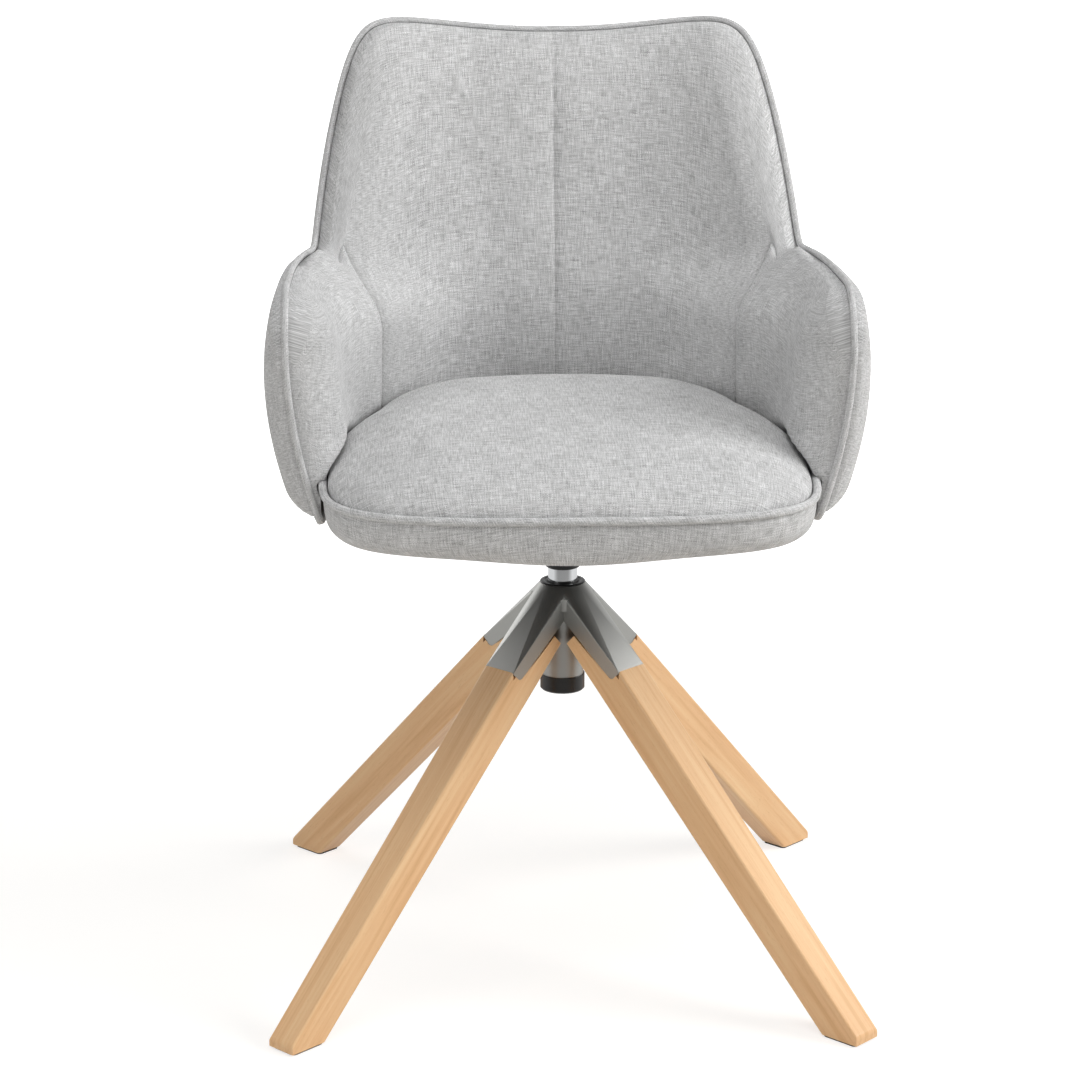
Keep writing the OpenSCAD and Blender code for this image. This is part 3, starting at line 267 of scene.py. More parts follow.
def linenWeave(name, look):
    # Polyester linen-look weave, light grey flecked yarn: matt, with short lighter and darker slubs
    # running both ways and a faint sheen from the fibres.
    material, tree = newMaterial(name)
    uv = addNode(tree, "ShaderNodeUVMap", uv_map="cloth").outputs[0]
    pitch, slub, width = (look[k] * mm for k in ("threadPitch", "slubLength", "slubWidth"))
    yarns = []
    for scale, shift in (((1 / width, 1 / slub, 1), (0, 0, 0)),
                         ((1 / slub, 1 / width, 1), look["weftShift"])):
        spot = addNode(tree, "ShaderNodeMapping", {"Vector": uv, "Scale": scale, "Location": shift})
        yarns.append(addNode(tree, "ShaderNodeTexNoise", {
            "Vector": spot.outputs[0], "Scale": 1.0, "Detail": 3.0, "Roughness": 0.62},
            noise_dimensions="2D"))
    fineSpot = addNode(tree, "ShaderNodeMapping", {"Vector": uv, "Scale": (1 / pitch,) * 3})
    fibre = addNode(tree, "ShaderNodeTexNoise", {
        "Vector": fineSpot.outputs[0], "Scale": 1.1, "Detail": 2.0, "Roughness": 0.7}, noise_dimensions="2D")
    cloudy = addNode(tree, "ShaderNodeTexNoise", {
        "Vector": uv, "Scale": 1000 / look["cloudSize"], "Detail": 2.0}, noise_dimensions="2D")
    # the yarn that lies on top changes from thread to thread, as in a plain weave: sin u * sin v
    parts = addNode(tree, "ShaderNodeSeparateXYZ", {"Vector": fineSpot.outputs[0]})
    waves = []
    for k in (0, 1):
        phase = addNode(tree, "ShaderNodeMath", {0: parts.outputs[k], 1: math.pi}, operation="MULTIPLY")
        waves.append(addNode(tree, "ShaderNodeMath", {0: phase.outputs[0]}, operation="SINE"))
    weave = addNode(tree, "ShaderNodeMath", {0: waves[0].outputs[0], 1: waves[1].outputs[0]},
                    operation="MULTIPLY")
    onTop = addNode(tree, "ShaderNodeMapRange", {
        "Value": weave.outputs[0], "From Min": -0.5, "From Max": 0.5})
    yarn = addNode(tree, "ShaderNodeMix", {
        "Factor": onTop.outputs[0], "A": yarns[0].outputs[0], "B": yarns[1].outputs[0]}, data_type="FLOAT")
    tone = 0.0
    for part, share in ((yarn, "yarnShare"), (fibre, "fibreShare"), (cloudy, "cloudShare")):
        tone = addNode(tree, "ShaderNodeMath", {0: part.outputs[0], 1: look[share], 2: tone},
                       operation="MULTIPLY_ADD").outputs[0]
    ramp = addNode(tree, "ShaderNodeValToRGB", {"Fac": tone},
                   stops=[(0.30, look["dark"]), (0.50, look["middle"]), (0.70, look["light"])])
    relief = addNode(tree, "ShaderNodeMath", {0: weave.outputs[0], 1: 0.25, 2: yarn.outputs[0]},
                     operation="MULTIPLY_ADD")
    surface = addNode(tree, "ShaderNodeBsdfPrincipled", {
        "Base Color": ramp.outputs[0], "Roughness": 0.92, "Sheen Weight": 0.12, "Sheen Roughness": 0.5,
        "Specular IOR Level": 0.25})
    closeMaterial(tree, surface, relief.outputs[0], look["bumpHeight"] * mm, look["bump"])
    return material


beechLook = {
    "pale": "#f3cd9e", "middle": "#ecbf8e", "deep": "#dfae7c", "fleck": "#c99765",
    "grainWidth": 2.6,     # mm between bands of early and late wood
    "grainLength": 190.0,  # mm over which a band runs before it fades
    "grainFlat": 0.45,     # the bands are this much closer across the leg's other side
    "patch": (250.0, 16.67, 29.4),           # mm, broad lighter and darker patches, along the leg first
    "fleckWidth": 0.9, "fleckLength": 7.0,   # mm, the ray flecks of beech, drawn a little coarser
    "grainShare": 0.55, "patchShare": 0.45,
}


def beechWood(name, look, turn, tilt, shift):
    # Steamed beech, planed, sanded and clear-lacquered: close pale grain with short darker ray flecks.
    material, tree = newMaterial(name)
    place = addNode(tree, "ShaderNodeTexCoord").outputs["Object"]
    # the pattern's X axis is turned to run down the leg
    spin = addNode(tree, "ShaderNodeMapping", {"Vector": place, "Rotation": (0, 0, -math.radians(turn))})
    lean = addNode(tree, "ShaderNodeMapping", {
        "Vector": spin.outputs[0], "Rotation": (0, -math.radians(tilt), 0),
        "Location": (shift, shift * 0.37, 0)})
    grainScale = (1000 / look["grainLength"], 1000 / look["grainWidth"],
                  1000 / look["grainWidth"] * look["grainFlat"])
    patchScale = tuple(1000 / size for size in look["patch"])
    fleckScale = (1000 / look["fleckLength"], 1000 / look["fleckWidth"], 1000 / look["fleckWidth"])
    noises = []
    for scale, detail, rough, bent in ((grainScale, 4.0, 0.6, 0.35), (patchScale, 2.0, 0.5, 0.8),
                                       (fleckScale, 1.0, 0.5, 0.0)):
        spot = addNode(tree, "ShaderNodeMapping", {"Vector": lean.outputs[0], "Scale": scale})
        noises.append(addNode(tree, "ShaderNodeTexNoise", {
            "Vector": spot.outputs[0], "Scale": 1.0, "Detail": detail, "Roughness": rough,
            "Distortion": bent}))
    grain, patches, flecks = (noise.outputs[0] for noise in noises)
    tone = 0.0
    for part, share in ((grain, "grainShare"), (patches, "patchShare")):
        tone = addNode(tree, "ShaderNodeMath", {0: part, 1: look[share], 2: tone},
                       operation="MULTIPLY_ADD").outputs[0]
    ramp = addNode(tree, "ShaderNodeValToRGB", {"Fac": tone},
                   stops=[(0.34, look["deep"]), (0.48, look["middle"]), (0.66, look["pale"])])
    fleckMask = addNode(tree, "ShaderNodeMapRange", {
        "Value": flecks, "From Min": 0.62, "From Max": 0.74, "To Max": 0.25})
    colour = addNode(tree, "ShaderNodeMix", {
        "Factor": fleckMask.outputs[0], "A": ramp.outputs[0], "B": linearColour(look["fleck"])},
        data_type="RGBA")
    surface = addNode(tree, "ShaderNodeBsdfPrincipled", {
        "Base Color": colour.outputs[2], "Roughness": 0.42, "Specular IOR Level": 0.4,
        "Coat Weight": 0.15, "Coat Roughness": 0.25})
    closeMaterial(tree, surface, grain, 0.12 * mm, 0.25)
    return material


# Metals and mouldings: one even colour, a haze that moves the roughness between two values, and a fine
# relief. Haze and relief are the sizes of their marks in mm, and height is the relief's depth in mm.
plainLooks = {
    # die-cast aluminium, linished and satin polished: soft reflections with a faint uneven haze
    "satin_cast_aluminium": {"colour": "#aaaaa7", "metallic": 1.0, "rough": (0.40, 0.50), "haze": 18.18,
                             "hazeDetail": 3.0, "relief": 1.11, "height": 0.06, "bump": 0.15},
    # polished chrome plate on steel tube: mirror-like, very slightly blue-grey
    "bright_chrome_plate": {"colour": "#d6d8da", "metallic": 1.0, "rough": (0.05, 0.12), "haze": 25.0},
    # bright zinc on turned steel fasteners: grey metal, fine turning marks, slightly dull
    "zinc_plated_steel": {"colour": "#b9bbbd", "metallic": 1.0, "rough": (0.25, 0.45), "haze": 1.43,
                          "relief": 1.43, "height": 0.03, "bump": 0.2},
    # injection-moulded nylon and turned acetal: a fine spark-eroded grain breaks up the gloss
    "moulded_black_nylon": {"colour": "#1b1b1b", "rough": (0.32, 0.44), "haze": 1.1, "relief": 1.1,
                            "height": 0.05, "bump": 0.3},
    "turned_white_acetal": {"colour": "#e4e1d6", "rough": (0.29, 0.41), "haze": 0.8, "relief": 0.8,
                            "height": 0.05, "bump": 0.3},
    # thermoformed shell under the cloth: black, coarser grain
    "moulded_black_shell": {"colour": "#232323", "rough": (0.49, 0.61), "haze": 1.5, "relief": 1.5,
                            "height": 0.05, "bump": 0.3},
}


def plainFinish(name):
    # roughness = low + (high - low) * haze, and the surface rises and falls with a second noise
    look = plainLooks[name]
    material, tree = newMaterial(name)
    place = addNode(tree, "ShaderNodeTexCoord").outputs["Object"]
    haze = addNode(tree, "ShaderNodeTexNoise", {
        "Vector": place, "Scale": 1000 / look["haze"], "Detail": look.get("hazeDetail", 2.0)})
    low, high = look["rough"]
    rough = addNode(tree, "ShaderNodeMapRange", {"Value": haze.outputs[0], "To Min": low, "To Max": high})
    surface = addNode(tree, "ShaderNodeBsdfPrincipled", {
        "Base Color": linearColour(look["colour"]), "Metallic": look.get("metallic", 0.0),
        "Roughness": rough.outputs[0]})
    if "relief" in look:
        fine = addNode(tree, "ShaderNodeTexNoise", {
            "Vector": place, "Scale": 1000 / look["relief"], "Detail": 2.0})
        closeMaterial(tree, surface, fine.outputs[0], look["height"] * mm, look["bump"])
    else:
        closeMaterial(tree, surface)
    return material


def powderCoat(name):
    # Black polyester powder coat on pressed steel: low gloss with a fine orange-peel of 2.2 mm
    material, tree = newMaterial(name)
    place = addNode(tree, "ShaderNodeTexCoord").outputs["Object"]
    peel = addNode(tree, "ShaderNodeTexNoise", {"Vector": place, "Scale": 1000 / 2.2, "Detail": 2.0})
    surface = addNode(tree, "ShaderNodeBsdfPrincipled", {
        "Base Color": linearColour("#1b1b1c"), "Roughness": 0.45})
    closeMaterial(tree, surface, peel.outputs[0], 0.1 * mm, 0.35)
    return material


def rawPly(name):
    # Birch plywood, unfinished: pale face grain along X, about 4 mm wide and 110 mm long
    material, tree = newMaterial(name)
    place = addNode(tree, "ShaderNodeTexCoord").outputs["Object"]
    spot = addNode(tree, "ShaderNodeMapping", {
        "Vector": place, "Scale": (1000 / 111, 1000 / 4.17, 1000 / 1.43)})
    grain = addNode(tree, "ShaderNodeTexNoise", {
        "Vector": spot.outputs[0], "Scale": 1.0, "Detail": 4.0, "Distortion": 0.5})
    ramp = addNode(tree, "ShaderNodeValToRGB", {"Fac": grain.outputs[0]},
                   stops=[(0.35, "#b9935f"), (0.5, "#d3b286"), (0.65, "#e0c69f")])
    surface = addNode(tree, "ShaderNodeBsdfPrincipled", {"Base Color": ramp.outputs[0], "Roughness": 0.7})
    closeMaterial(tree, surface, grain.outputs[0], 0.1 * mm, 0.3)
    return material


def nonWoven(name):
    # Black spun-bonded dust cloth: matt felted fibres in tufts of 1.1 mm
    material, tree = newMaterial(name)
    place = addNode(tree, "ShaderNodeTexCoord").outputs["Object"]
    fibres = addNode(tree, "ShaderNodeTexNoise", {
        "Vector": place, "Scale": 1000 / 1.11, "Detail": 3.0, "Distortion": 1.5})
    ramp = addNode(tree, "ShaderNodeValToRGB", {"Fac": fibres.outputs[0]},
                   stops=[(0.3, "#121212"), (0.6, "#262626"), (0.8, "#3a3a3a")])
    surface = addNode(tree, "ShaderNodeBsdfPrincipled", {
        "Base Color": ramp.outputs[0], "Roughness": 0.95, "Specular IOR Level": 0.2})
    closeMaterial(tree, surface, fibres.outputs[0], 0.2 * mm, 0.5)
    return material


greyLinen = linenWeave("grey_linen_weave", fabricLook)
castAluminium = plainFinish("satin_cast_aluminium")
chromePlate = plainFinish("bright_chrome_plate")
zincSteel = plainFinish("zinc_plated_steel")
blackNylon = plainFinish("moulded_black_nylon")
whiteAcetal = plainFinish("turned_white_acetal")
moulding = plainFinish("moulded_black_shell")
coatedSteel = powderCoat("black_powder_coat")
birchPly = rawPly("raw_birch_ply")
dustCloth = nonWoven("black_dust_cloth")
print("materials made")


def dress(piece, material):  # the piece gets this one material
    piece.data.materials.clear()
    piece.data.materials.append(material)


# Seat outline
seat = {
    "halfWidth": 224.5, "front": 266, "rear": 144, "square": 3.5, "squareRear": 4.2, "taper": 0.15,
    "wideY": -100, "taperOver": 160, "lineZ": 487, "lineRise": 18, "riseFrom": -200, "riseOver": 200,
    "crown": 44, "crownPower": 4.0, "tuck": 14, "pipeRadius": 3.7, "boardZ": 444.7, "boardThick": 15,
    "centreY": -30,
}
outlineStep = 0.0087   # radians, half a degree, over which the outline's direction is taken
cushionInset = 2 * seat["pipeRadius"] + 0.4   # the piping, and a little air beside it


def seatWidthAt(y):  # half width, narrowing smoothly behind the widest line
    return seat["halfWidth"] * (1 - seat["taper"] * smoothStep((y - seat["wideY"]) / seat["taperOver"]))


def seatDepth(c):  # from the widest line to the rear where c > 0, otherwise to the front
    return np.where(c > 0, seat["rear"] - seat["wideY"], seat["front"] + seat["wideY"])


def seatPower(c):  # the outline is squarer at the rear
    return np.where(c > 0, seat["squareRear"], seat["square"])


def seatRaw(t):
    # two half superellipses, r = (|sin t / w|^n + |cos t / d|^n)^(-1/n) about the widest line
    n, d = seatPower(np.cos(t)), seatDepth(np.cos(t))
    r = ((np.abs(np.sin(t)) / seat["halfWidth"]) ** n + (np.abs(np.cos(t)) / d) ** n) ** (-1 / n)
    y = seat["wideY"] + r * np.cos(t)
    return np.stack([r * np.sin(t) * seatWidthAt(y) / seat["halfWidth"], y], -1)


def seatEdge(t, inset):  # the outline moved inwards by inset
    d = seatRaw(t + outlineStep) - seatRaw(t - outlineStep)
    d /= np.linalg.norm(d, axis=-1, keepdims=True)
    normal = np.stack([-d[..., 1], d[..., 0]], -1)
    return seatRaw(t) - normal * np.asarray(inset)[..., None]


def seatZ(y):  # height of the seat's piping, rising to the rear
    return seat["lineZ"] + seat["lineRise"] * smoothStep((y - seat["riseFrom"]) / seat["riseOver"])


def seatInside(x, y):  # |x / w|^n + |y / d|^n: 1 on the outline, less inside
    c = y - seat["wideY"]
    n = seatPower(c)
    return (np.abs(x) / seatWidthAt(y)) ** n + (np.abs(c) / seatDepth(c)) ** n


# Tub surface
tub = {   # millimetres and degrees
    "halfWidth": 251, "wideZ": 616, "bellyRadius": 450, "wideY": 85, "backY": 170, "recline": 13,
    "uprightBelow": 480, "planLow": 2.5, "planHigh": 4.1, "planFrom": 500, "planOver": 170,
    "backTop": 857.7, "horn": 20.3, "hornWide": 25, "armZ": 660.5, "armDrop": 5, "notchAngle": 48,
    "sideSlope": 13.8, "hornRound": 78, "notchRound": 10, "armFront": 60, "baseZ": 444.7, "footRise": 18,
    "riseAt": 0.75, "bend": 0.84,           # stations: 0 at the back's middle, 1 at the arm's front
    "shell": 5, "air": 0.3, "armOut": 26, "backOut": 17, "armIn": 42, "cornerIn": 72, "backIn": 37,
    "waistZ": 645, "pipeRadius": 3.1, "beside": 0.9,      # the fabric comes up beside the piping
    "dome": 11, "seamLift": 0.5, "edge": 1.6, "coverEdge": 1.4,
    "seamDip": 9, "armRound": 0.06, "backRound": 0.13,    # the sewn corner's depth and reach each way
    "seamTurn": 6.0, "turnFrom": 0.86,      # the seam leans forward over the arm, near the piping
    "centreDip": 2.6, "centreRound": 0.022,               # the seam down the middle of the back
    "padShort": 3,                          # how much lower the pads' foot stays at the arm's front
    "touch": 0.8,                           # space between a pad and the seat cushion
    "underFill": 3.2, "underOver": 6,       # fullness under the seat's piping, towards the border
}
coverShape = {
    "armFrom": 0.42, "armOver": 0.28,       # stations over which the back's fullness becomes the arm's
    "roundBack": 60, "roundArm": 160, "roundFrom": 0.4, "roundOver": 0.35,   # mm from the piping to full
    "stepAt": 0.47, "stepWide": 0.05, "stepFlat": 0.6, "stepDeep": 30,       # flatter at the rim's step
    "footRound": 26,
}
padShape = {
    "cornerLow": 0.42, "cornerMiddle": 1.12, "cornerHigh": 0.64,   # shares of cornerIn, from the seat up
    "cornerFrom": 508, "cornerOver": 102, "thinFrom": 585, "thinOver": 75,
    "backLow": 0.42, "lowOver": 110, "lowMost": 1.3, "backHigh": 0.35, "highOver": 220,
    "roundBack": 62, "roundSeam": 46, "roundArm": 70, "roundOver": 0.2,      # mm from the piping to full
    "cornerShare": 0.25,                    # part of the way to the seam that has the back's own padding
    "armFullAt": 0.75,                      # station from which the arm has its own padding
    "fillAbove": 4, "fillOver": 10,         # mm about the seat's piping, below which a pad is full
    "domeReach": 0.04, "domeFront": 0.07, "domeRear": 0.025,       # stations from the seam
}
frontY = -tub["wideY"]
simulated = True
slack = 2.0 if simulated else 0.0   # mm by which padding starts smaller, because the simulation swells it
seamAt = tub["bend"] * 45 / 90
seamLean = tub["bend"] * tub["seamTurn"] / 90


def tubWidth(z):  # half width: less by h^2 / 2r at a height h under the widest line
    under = np.maximum(0, tub["wideZ"] - np.maximum(z, tub["baseZ"]))
    return tub["halfWidth"] - under ** 2 / (2 * tub["bellyRadius"])


def tubDepth(z):  # from the widest line to the back, which leans out by height * tan(recline)
    lean = math.tan(math.radians(tub["recline"]))
    return tub["backY"] + tub["wideY"] + (np.maximum(z, tub["uprightBelow"]) - seat["lineZ"]) * lean


def tubReach(a, z):
    # superellipse in plan, (|sin a / w|^n + |cos a / d|^n)^(-1/n), whose power grows with height; a is in
    # degrees from straight back
    n = mix(tub["planLow"], tub["planHigh"], smoothStep((z - tub["planFrom"]) / tub["planOver"]))
    s, c = np.abs(np.sin(np.radians(a))), np.abs(np.cos(np.radians(a)))
    return ((s / tubWidth(z)) ** n + (c / tubDepth(z)) ** n) ** (-1 / n)


def rimAt(a):
    # the back's top meets the slope to the arms, and the slope the arm, each through a soft corner
    top = tub["backTop"] + tub["horn"] * (a / tub["hornWide"]) ** 2
    side = tub["armZ"] + (tub["notchAngle"] - a) * tub["sideSlope"]
    arm = tub["armZ"] - tub["armDrop"] * np.cos(np.radians(a))
    return softMax(softMin(top, side, tub["hornRound"]), arm, tub["notchRound"])


def rimSteep(a):  # rise of the rim for each mm along it in plan
    return (rimAt(a + 0.5) - rimAt(a - 0.5)) / (tubReach(a, rimAt(a)) * math.pi / 180)


def planAngle(q):  # degrees from straight back, growing evenly to 90 at the bend
    return 90 * np.minimum(1, q / tub["bend"])


def cornerTurn(q):  # radians round the arm's front corner
    return np.pi / 2 * np.maximum(0, (q - tub["bend"]) / (1 - tub["bend"]))


def edgeZ(q, inset):  # height of the rim at a station, or of a line inset from it along the surface
    a = planAngle(q)
    back = rimAt(a) - inset * np.sqrt(1 + rimSteep(a) ** 2)
    front = rimAt(90.0) - tub["armFront"] + (tub["armFront"] - inset) * np.cos(cornerTurn(q))
    return np.where(q <= tub["bend"], back, front)


def edgeGap(q, z):  # distance from the piping
    a = planAngle(q)
    dz = rimAt(a) - z
    dy = tub["armFront"] * (1 - np.sin(cornerTurn(q)))
    share = np.maximum(0, 1 - dy / tub["armFront"])
    front = np.minimum(dz, dy + share * np.maximum(0, dz) * np.cos(cornerTurn(q)))
    return np.where(q <= tub["bend"], dz / np.sqrt(1 + rimSteep(a) ** 2), front)


def tubPoint(q, z, off, side, inset=0.0):
    # a point at station q and height z, moved off outwards
    a = planAngle(q)
    r = tubReach(a, z) + off
    x = np.where(q <= tub["bend"], r * np.sin(np.radians(a)), tubWidth(z) + off)
    y = np.where(q <= tub["bend"], frontY + r * np.cos(np.radians(a)),
                 frontY - (tub["armFront"] - inset) * np.sin(cornerTurn(q)))
    return np.stack([side * x, y, z + 0 * x], -1)


def seatReach(q):  # from the tub's centre to the seat's outline, found by halving
    a = np.radians(planAngle(q))
    low, high = np.full_like(q, 100.0), np.full_like(q, 300.0)
    for _ in range(18):
        m = (low + high) / 2
        out = seatInside(m * np.sin(a), frontY + m * np.cos(a)) > 1
        low, high = np.where(out, low, m), np.where(out, m, high)
    y = frontY - tub["armFront"] * np.sin(cornerTurn(q))
    c = y - seat["wideY"]
    n = seatPower(c)
    straight = seatWidthAt(y) * np.clip(1 - (np.abs(c) / seatDepth(c)) ** n, 1e-6, 1) ** (1 / n)
    return np.where(q <= tub["bend"], (low + high) / 2, straight)


crownEdge = seatEdge(np.linspace(-np.pi, np.pi, 721), cushionInset) - [0, seat["centreY"]]
crownTurns = np.arctan2(crownEdge[1:-1, 0], crownEdge[1:-1, 1])
crownReach = np.hypot(*crownEdge[1:-1].T)


def crownShare(x, y):  # how far a point lies from the cushion's centre, 1 at its edge
    y = y - seat["centreY"]
    return np.hypot(x, y) / np.interp(np.arctan2(x, y), crownTurns, crownReach)


def crownZ(x, y):
    # height of the cushion's top, seatZ + crown * sqrt(1 - share^power), and very low outside it
    share = crownShare(x, y)
    rise = seat["crown"] * np.sqrt(np.clip(1 - share ** seat["crownPower"], 0, 1))
    return np.where(share < 1, seatZ(y) + rise, -1000)


def seatRoom(q, z):
    # room between the tub's middle surface and the seat at height z: the place where the cushion's crown
    # or the round of its piping comes up to z is found by halving along the line inwards
    a = np.radians(planAngle(q))
    wide = np.where(q <= tub["bend"], tubReach(planAngle(q), z), tubWidth(z))
    reach = seatReach(q)
    straightY = frontY - tub["armFront"] * np.sin(cornerTurn(q))
    low, high = 0.2 * reach, reach + 0 * z
    for _ in range(16):
        m = (low + high) / 2
        x = np.where(q <= tub["bend"], m * np.sin(a), m)
        y = np.where(q <= tub["bend"], frontY + m * np.cos(a), straightY)
        inwards = reach - m - seat["pipeRadius"]
        piping = seatZ(y) + np.sqrt(np.clip(seat["pipeRadius"] ** 2 - inwards ** 2, 0, None))
        blocked = np.maximum(crownZ(x, y), piping) > z - tub["touch"]
        low, high = np.where(blocked, m, low), np.where(blocked, high, m)
    under = smoothStep((seatZ(y) - seat["pipeRadius"] - z) / tub["underOver"])
    return wide - high - 2 * tub["touch"] + tub["underFill"] * under


def frontSwell(q):  # fullness of the arm towards its front edge
    return swell(tub["armFront"] * (1 - np.sin(cornerTurn(q))) + 1, tub["armFront"])


def footZ(q, lower=0):  # the tub's lower edge, which rises at the arm's front, there less by lower
    rise = smoothStep((q - tub["riseAt"]) / (1 - tub["riseAt"]))
    return tub["baseZ"] + (tub["footRise"] - lower) * rise


def seamLine(v):  # station of the seam between back and arm
    return seamAt + seamLean * smoothStep((v - tub["turnFrom"]) / (1 - tub["turnFrom"]))


def leaned(q, v):  # stations slide with the seam, evenly on either side of it
    s = seamLine(v)
    return np.where(q < seamAt, q * s / seamAt, 1 - (1 - q) * (1 - s) / (1 - seamAt))


def outOff(q, z):  # outer face of the covers: full below, drawn in at the piping and at the lower edge
    c = coverShape
    gap = edgeGap(q, z)
    full = mix(tub["backOut"], tub["armOut"], smoothStep((q - c["armFrom"]) / c["armOver"]))
    length = mix(c["roundBack"], c["roundArm"], smoothStep((q - c["roundFrom"]) / c["roundOver"]))
    grow = np.where(q <= tub["bend"], swell(gap, length), swell(rimAt(90.0) - z, length) * frontSwell(q))
    step = dent(q - c["stepAt"], c["stepWide"])
    grow = grow * (1 - c["stepFlat"] * step * (1 - smoothStep(gap / c["stepDeep"])))
    grow = grow * swell(z - footZ(q) + 0.4, c["footRound"])
    edge = tub["coverEdge"]
    return tub["shell"] / 2 + tub["air"] + edge + (full - edge - tub["shell"] / 2) * grow


def cornerFull(z):
    # padding where back and arm meet: thin at the seat, fullest half way up, thinner at the rim
    p = padShape
    up = mix(p["cornerLow"], p["cornerMiddle"], np.clip((z - p["cornerFrom"]) / p["cornerOver"], 0, 1))
    thin = (p["cornerMiddle"] - p["cornerHigh"]) * smoothStep((z - p["thinFrom"]) / p["thinOver"])
    return tub["cornerIn"] * (up - thin)


def backFull(z):
    # the back's padding: fullest behind the waist, less by a parabola above it and down to the seat
    p = padShape
    low = np.clip((tub["waistZ"] - z) / p["lowOver"], 0, p["lowMost"])
    high = np.clip((z - tub["waistZ"]) / p["highOver"], 0, 1)
    return tub["backIn"] * (1 - p["backLow"] * low ** 2 - p["backHigh"] * high ** 2)


def inOff(q, v, z):
    # inner face of the pads: deepest where back and arm meet, sunk at the sewn seams
    p = padShape
    gap = edgeGap(q, z)
    length = np.where(q < seamAt, mix(p["roundBack"], p["roundSeam"], q / seamAt),
                      mix(p["roundSeam"], p["roundArm"], smoothStep((q - seamAt) / p["roundOver"])))
    grow = np.where(q <= tub["bend"], swell(gap, length), swell(rimAt(90.0) - z, length) * frontSwell(q))
    # under the seat's piping the pad fills the gap to the border, right to the arm's front
    grow = mix(grow, 1, smoothStep((seat["lineZ"] + p["fillAbove"] - z) / p["fillOver"]))
    intoCorner = smoothStep((q / seamAt - p["cornerShare"]) / (1 - p["cornerShare"]))
    intoArm = smoothStep((q - seamAt) / (p["armFullAt"] - seamAt))
    full = np.where(q < seamAt, mix(backFull(z), cornerFull(z), intoCorner),
                    mix(cornerFull(z), tub["armIn"], intoArm))
    past = q - seamLine(v)
    seam = tub["seamDip"] * (1 - swell(np.abs(past), np.where(past > 0, tub["armRound"], tub["backRound"])))
    seam = seam + tub["centreDip"] * (1 - swell(q, tub["centreRound"]))
    full = tub["edge"] + (full - seam - slack - tub["edge"]) * grow
    room = np.maximum(1, seatRoom(q, z) - tub["shell"] / 2 - tub["air"])
    return -tub["shell"] / 2 - tub["air"] - softMin(full, room, 1.5)


def domeRise(q, v, z):
    # the arm pad's shoulder stands above the piping: highest a little past the seam, where it has reached
    # half of its padding (4 g (1 - g)); the seam itself is lifted by a share of it
    p = padShape
    grow = swell(edgeGap(q, z), p["roundSeam"])
    past = q - seamLine(v)
    reach = np.where(past > 0, p["domeFront"], p["domeRear"])
    lift = mix(tub["seamLift"], 1, swell(past, p["domeReach"])) * dent(past, reach)
    return tub["dome"] * lift * 4 * grow * (1 - grow)


def layer(kind, stations, rows, side):
    # one face of a tub piece on a grid of rows (bottom to rim) by stations (back to front)
    k, v = np.meshgrid(stations, rows)
    q = leaned(k, v)
    inset = tub["pipeRadius"] - tub["beside"]
    z = mix(footZ(q, tub["padShort"] if kind in ("pad", "padBack") else 0) + tub["air"], edgeZ(q, inset), v)
    behind = tub["shell"] / 2 + tub["air"] + 0 * q   # a piece's hidden side lies against the shell
    off = {"pad": lambda: inOff(q, v, z), "padBack": lambda: -behind,
           "cover": lambda: outOff(q, z), "coverBack": lambda: behind}[kind]()
    grid = tubPoint(q, z, off, side, inset)
    if kind == "pad":
        grid[..., 2] += domeRise(q, v, z)
    return grid


# rows crowd towards the rim, and stations, given in degrees of the plan, towards the seams
rowSteps = np.linspace(0, 1, 76)
rowSteps = mix(rowSteps, 1 - (1 - rowSteps) ** 2, 0.7)
backStations = tub["bend"] * np.concatenate([
    [0, 0.35, 0.7, 1.1, 1.6, 2.3, 3.2], mix(4.2, 41.5, np.linspace(0, 1, 48)),
    [42.3, 43, 43.6, 44.1, 44.5, 44.8, 44.97]]) / 90
armStations = tub["bend"] * np.concatenate([
    [45.03, 45.2, 45.5, 45.9, 46.4, 47, 47.7], mix(48.6, 90, np.linspace(0, 1, 44))]) / 90
frontStations = mix(tub["bend"], 1, mix(0.05, 1, np.linspace(0, 1, 20)))
armStations = np.concatenate([armStations, frontStations])


def bothSides(kind, stations):  # a layer of the back, mirrored to the left and joined at the middle
    right = layer(kind, stations, rowSteps, 1)
    left = layer(kind, stations, rowSteps, -1)
    return np.concatenate([left[:, :0:-1], right], 1)


clothWork = {
    "pressure": 4.0, "quality": 6, "mass": 0.3, "lastFrame": 20,
    "furthest": 4.0, "voxel": 5.0, "heldBelow": 535, "heldOver": 4,   # mm
    "smoothing": 60,   # passes that even out the movement, because the real foam lets no folds form
}


def coordinatesOf(mesh):  # the mesh's points as rows of x, y, z in metres
    flat = np.empty(len(mesh.vertices) * 3, np.float32)
    mesh.vertices.foreach_get("co", flat)
    return flat.reshape(-1, 3)


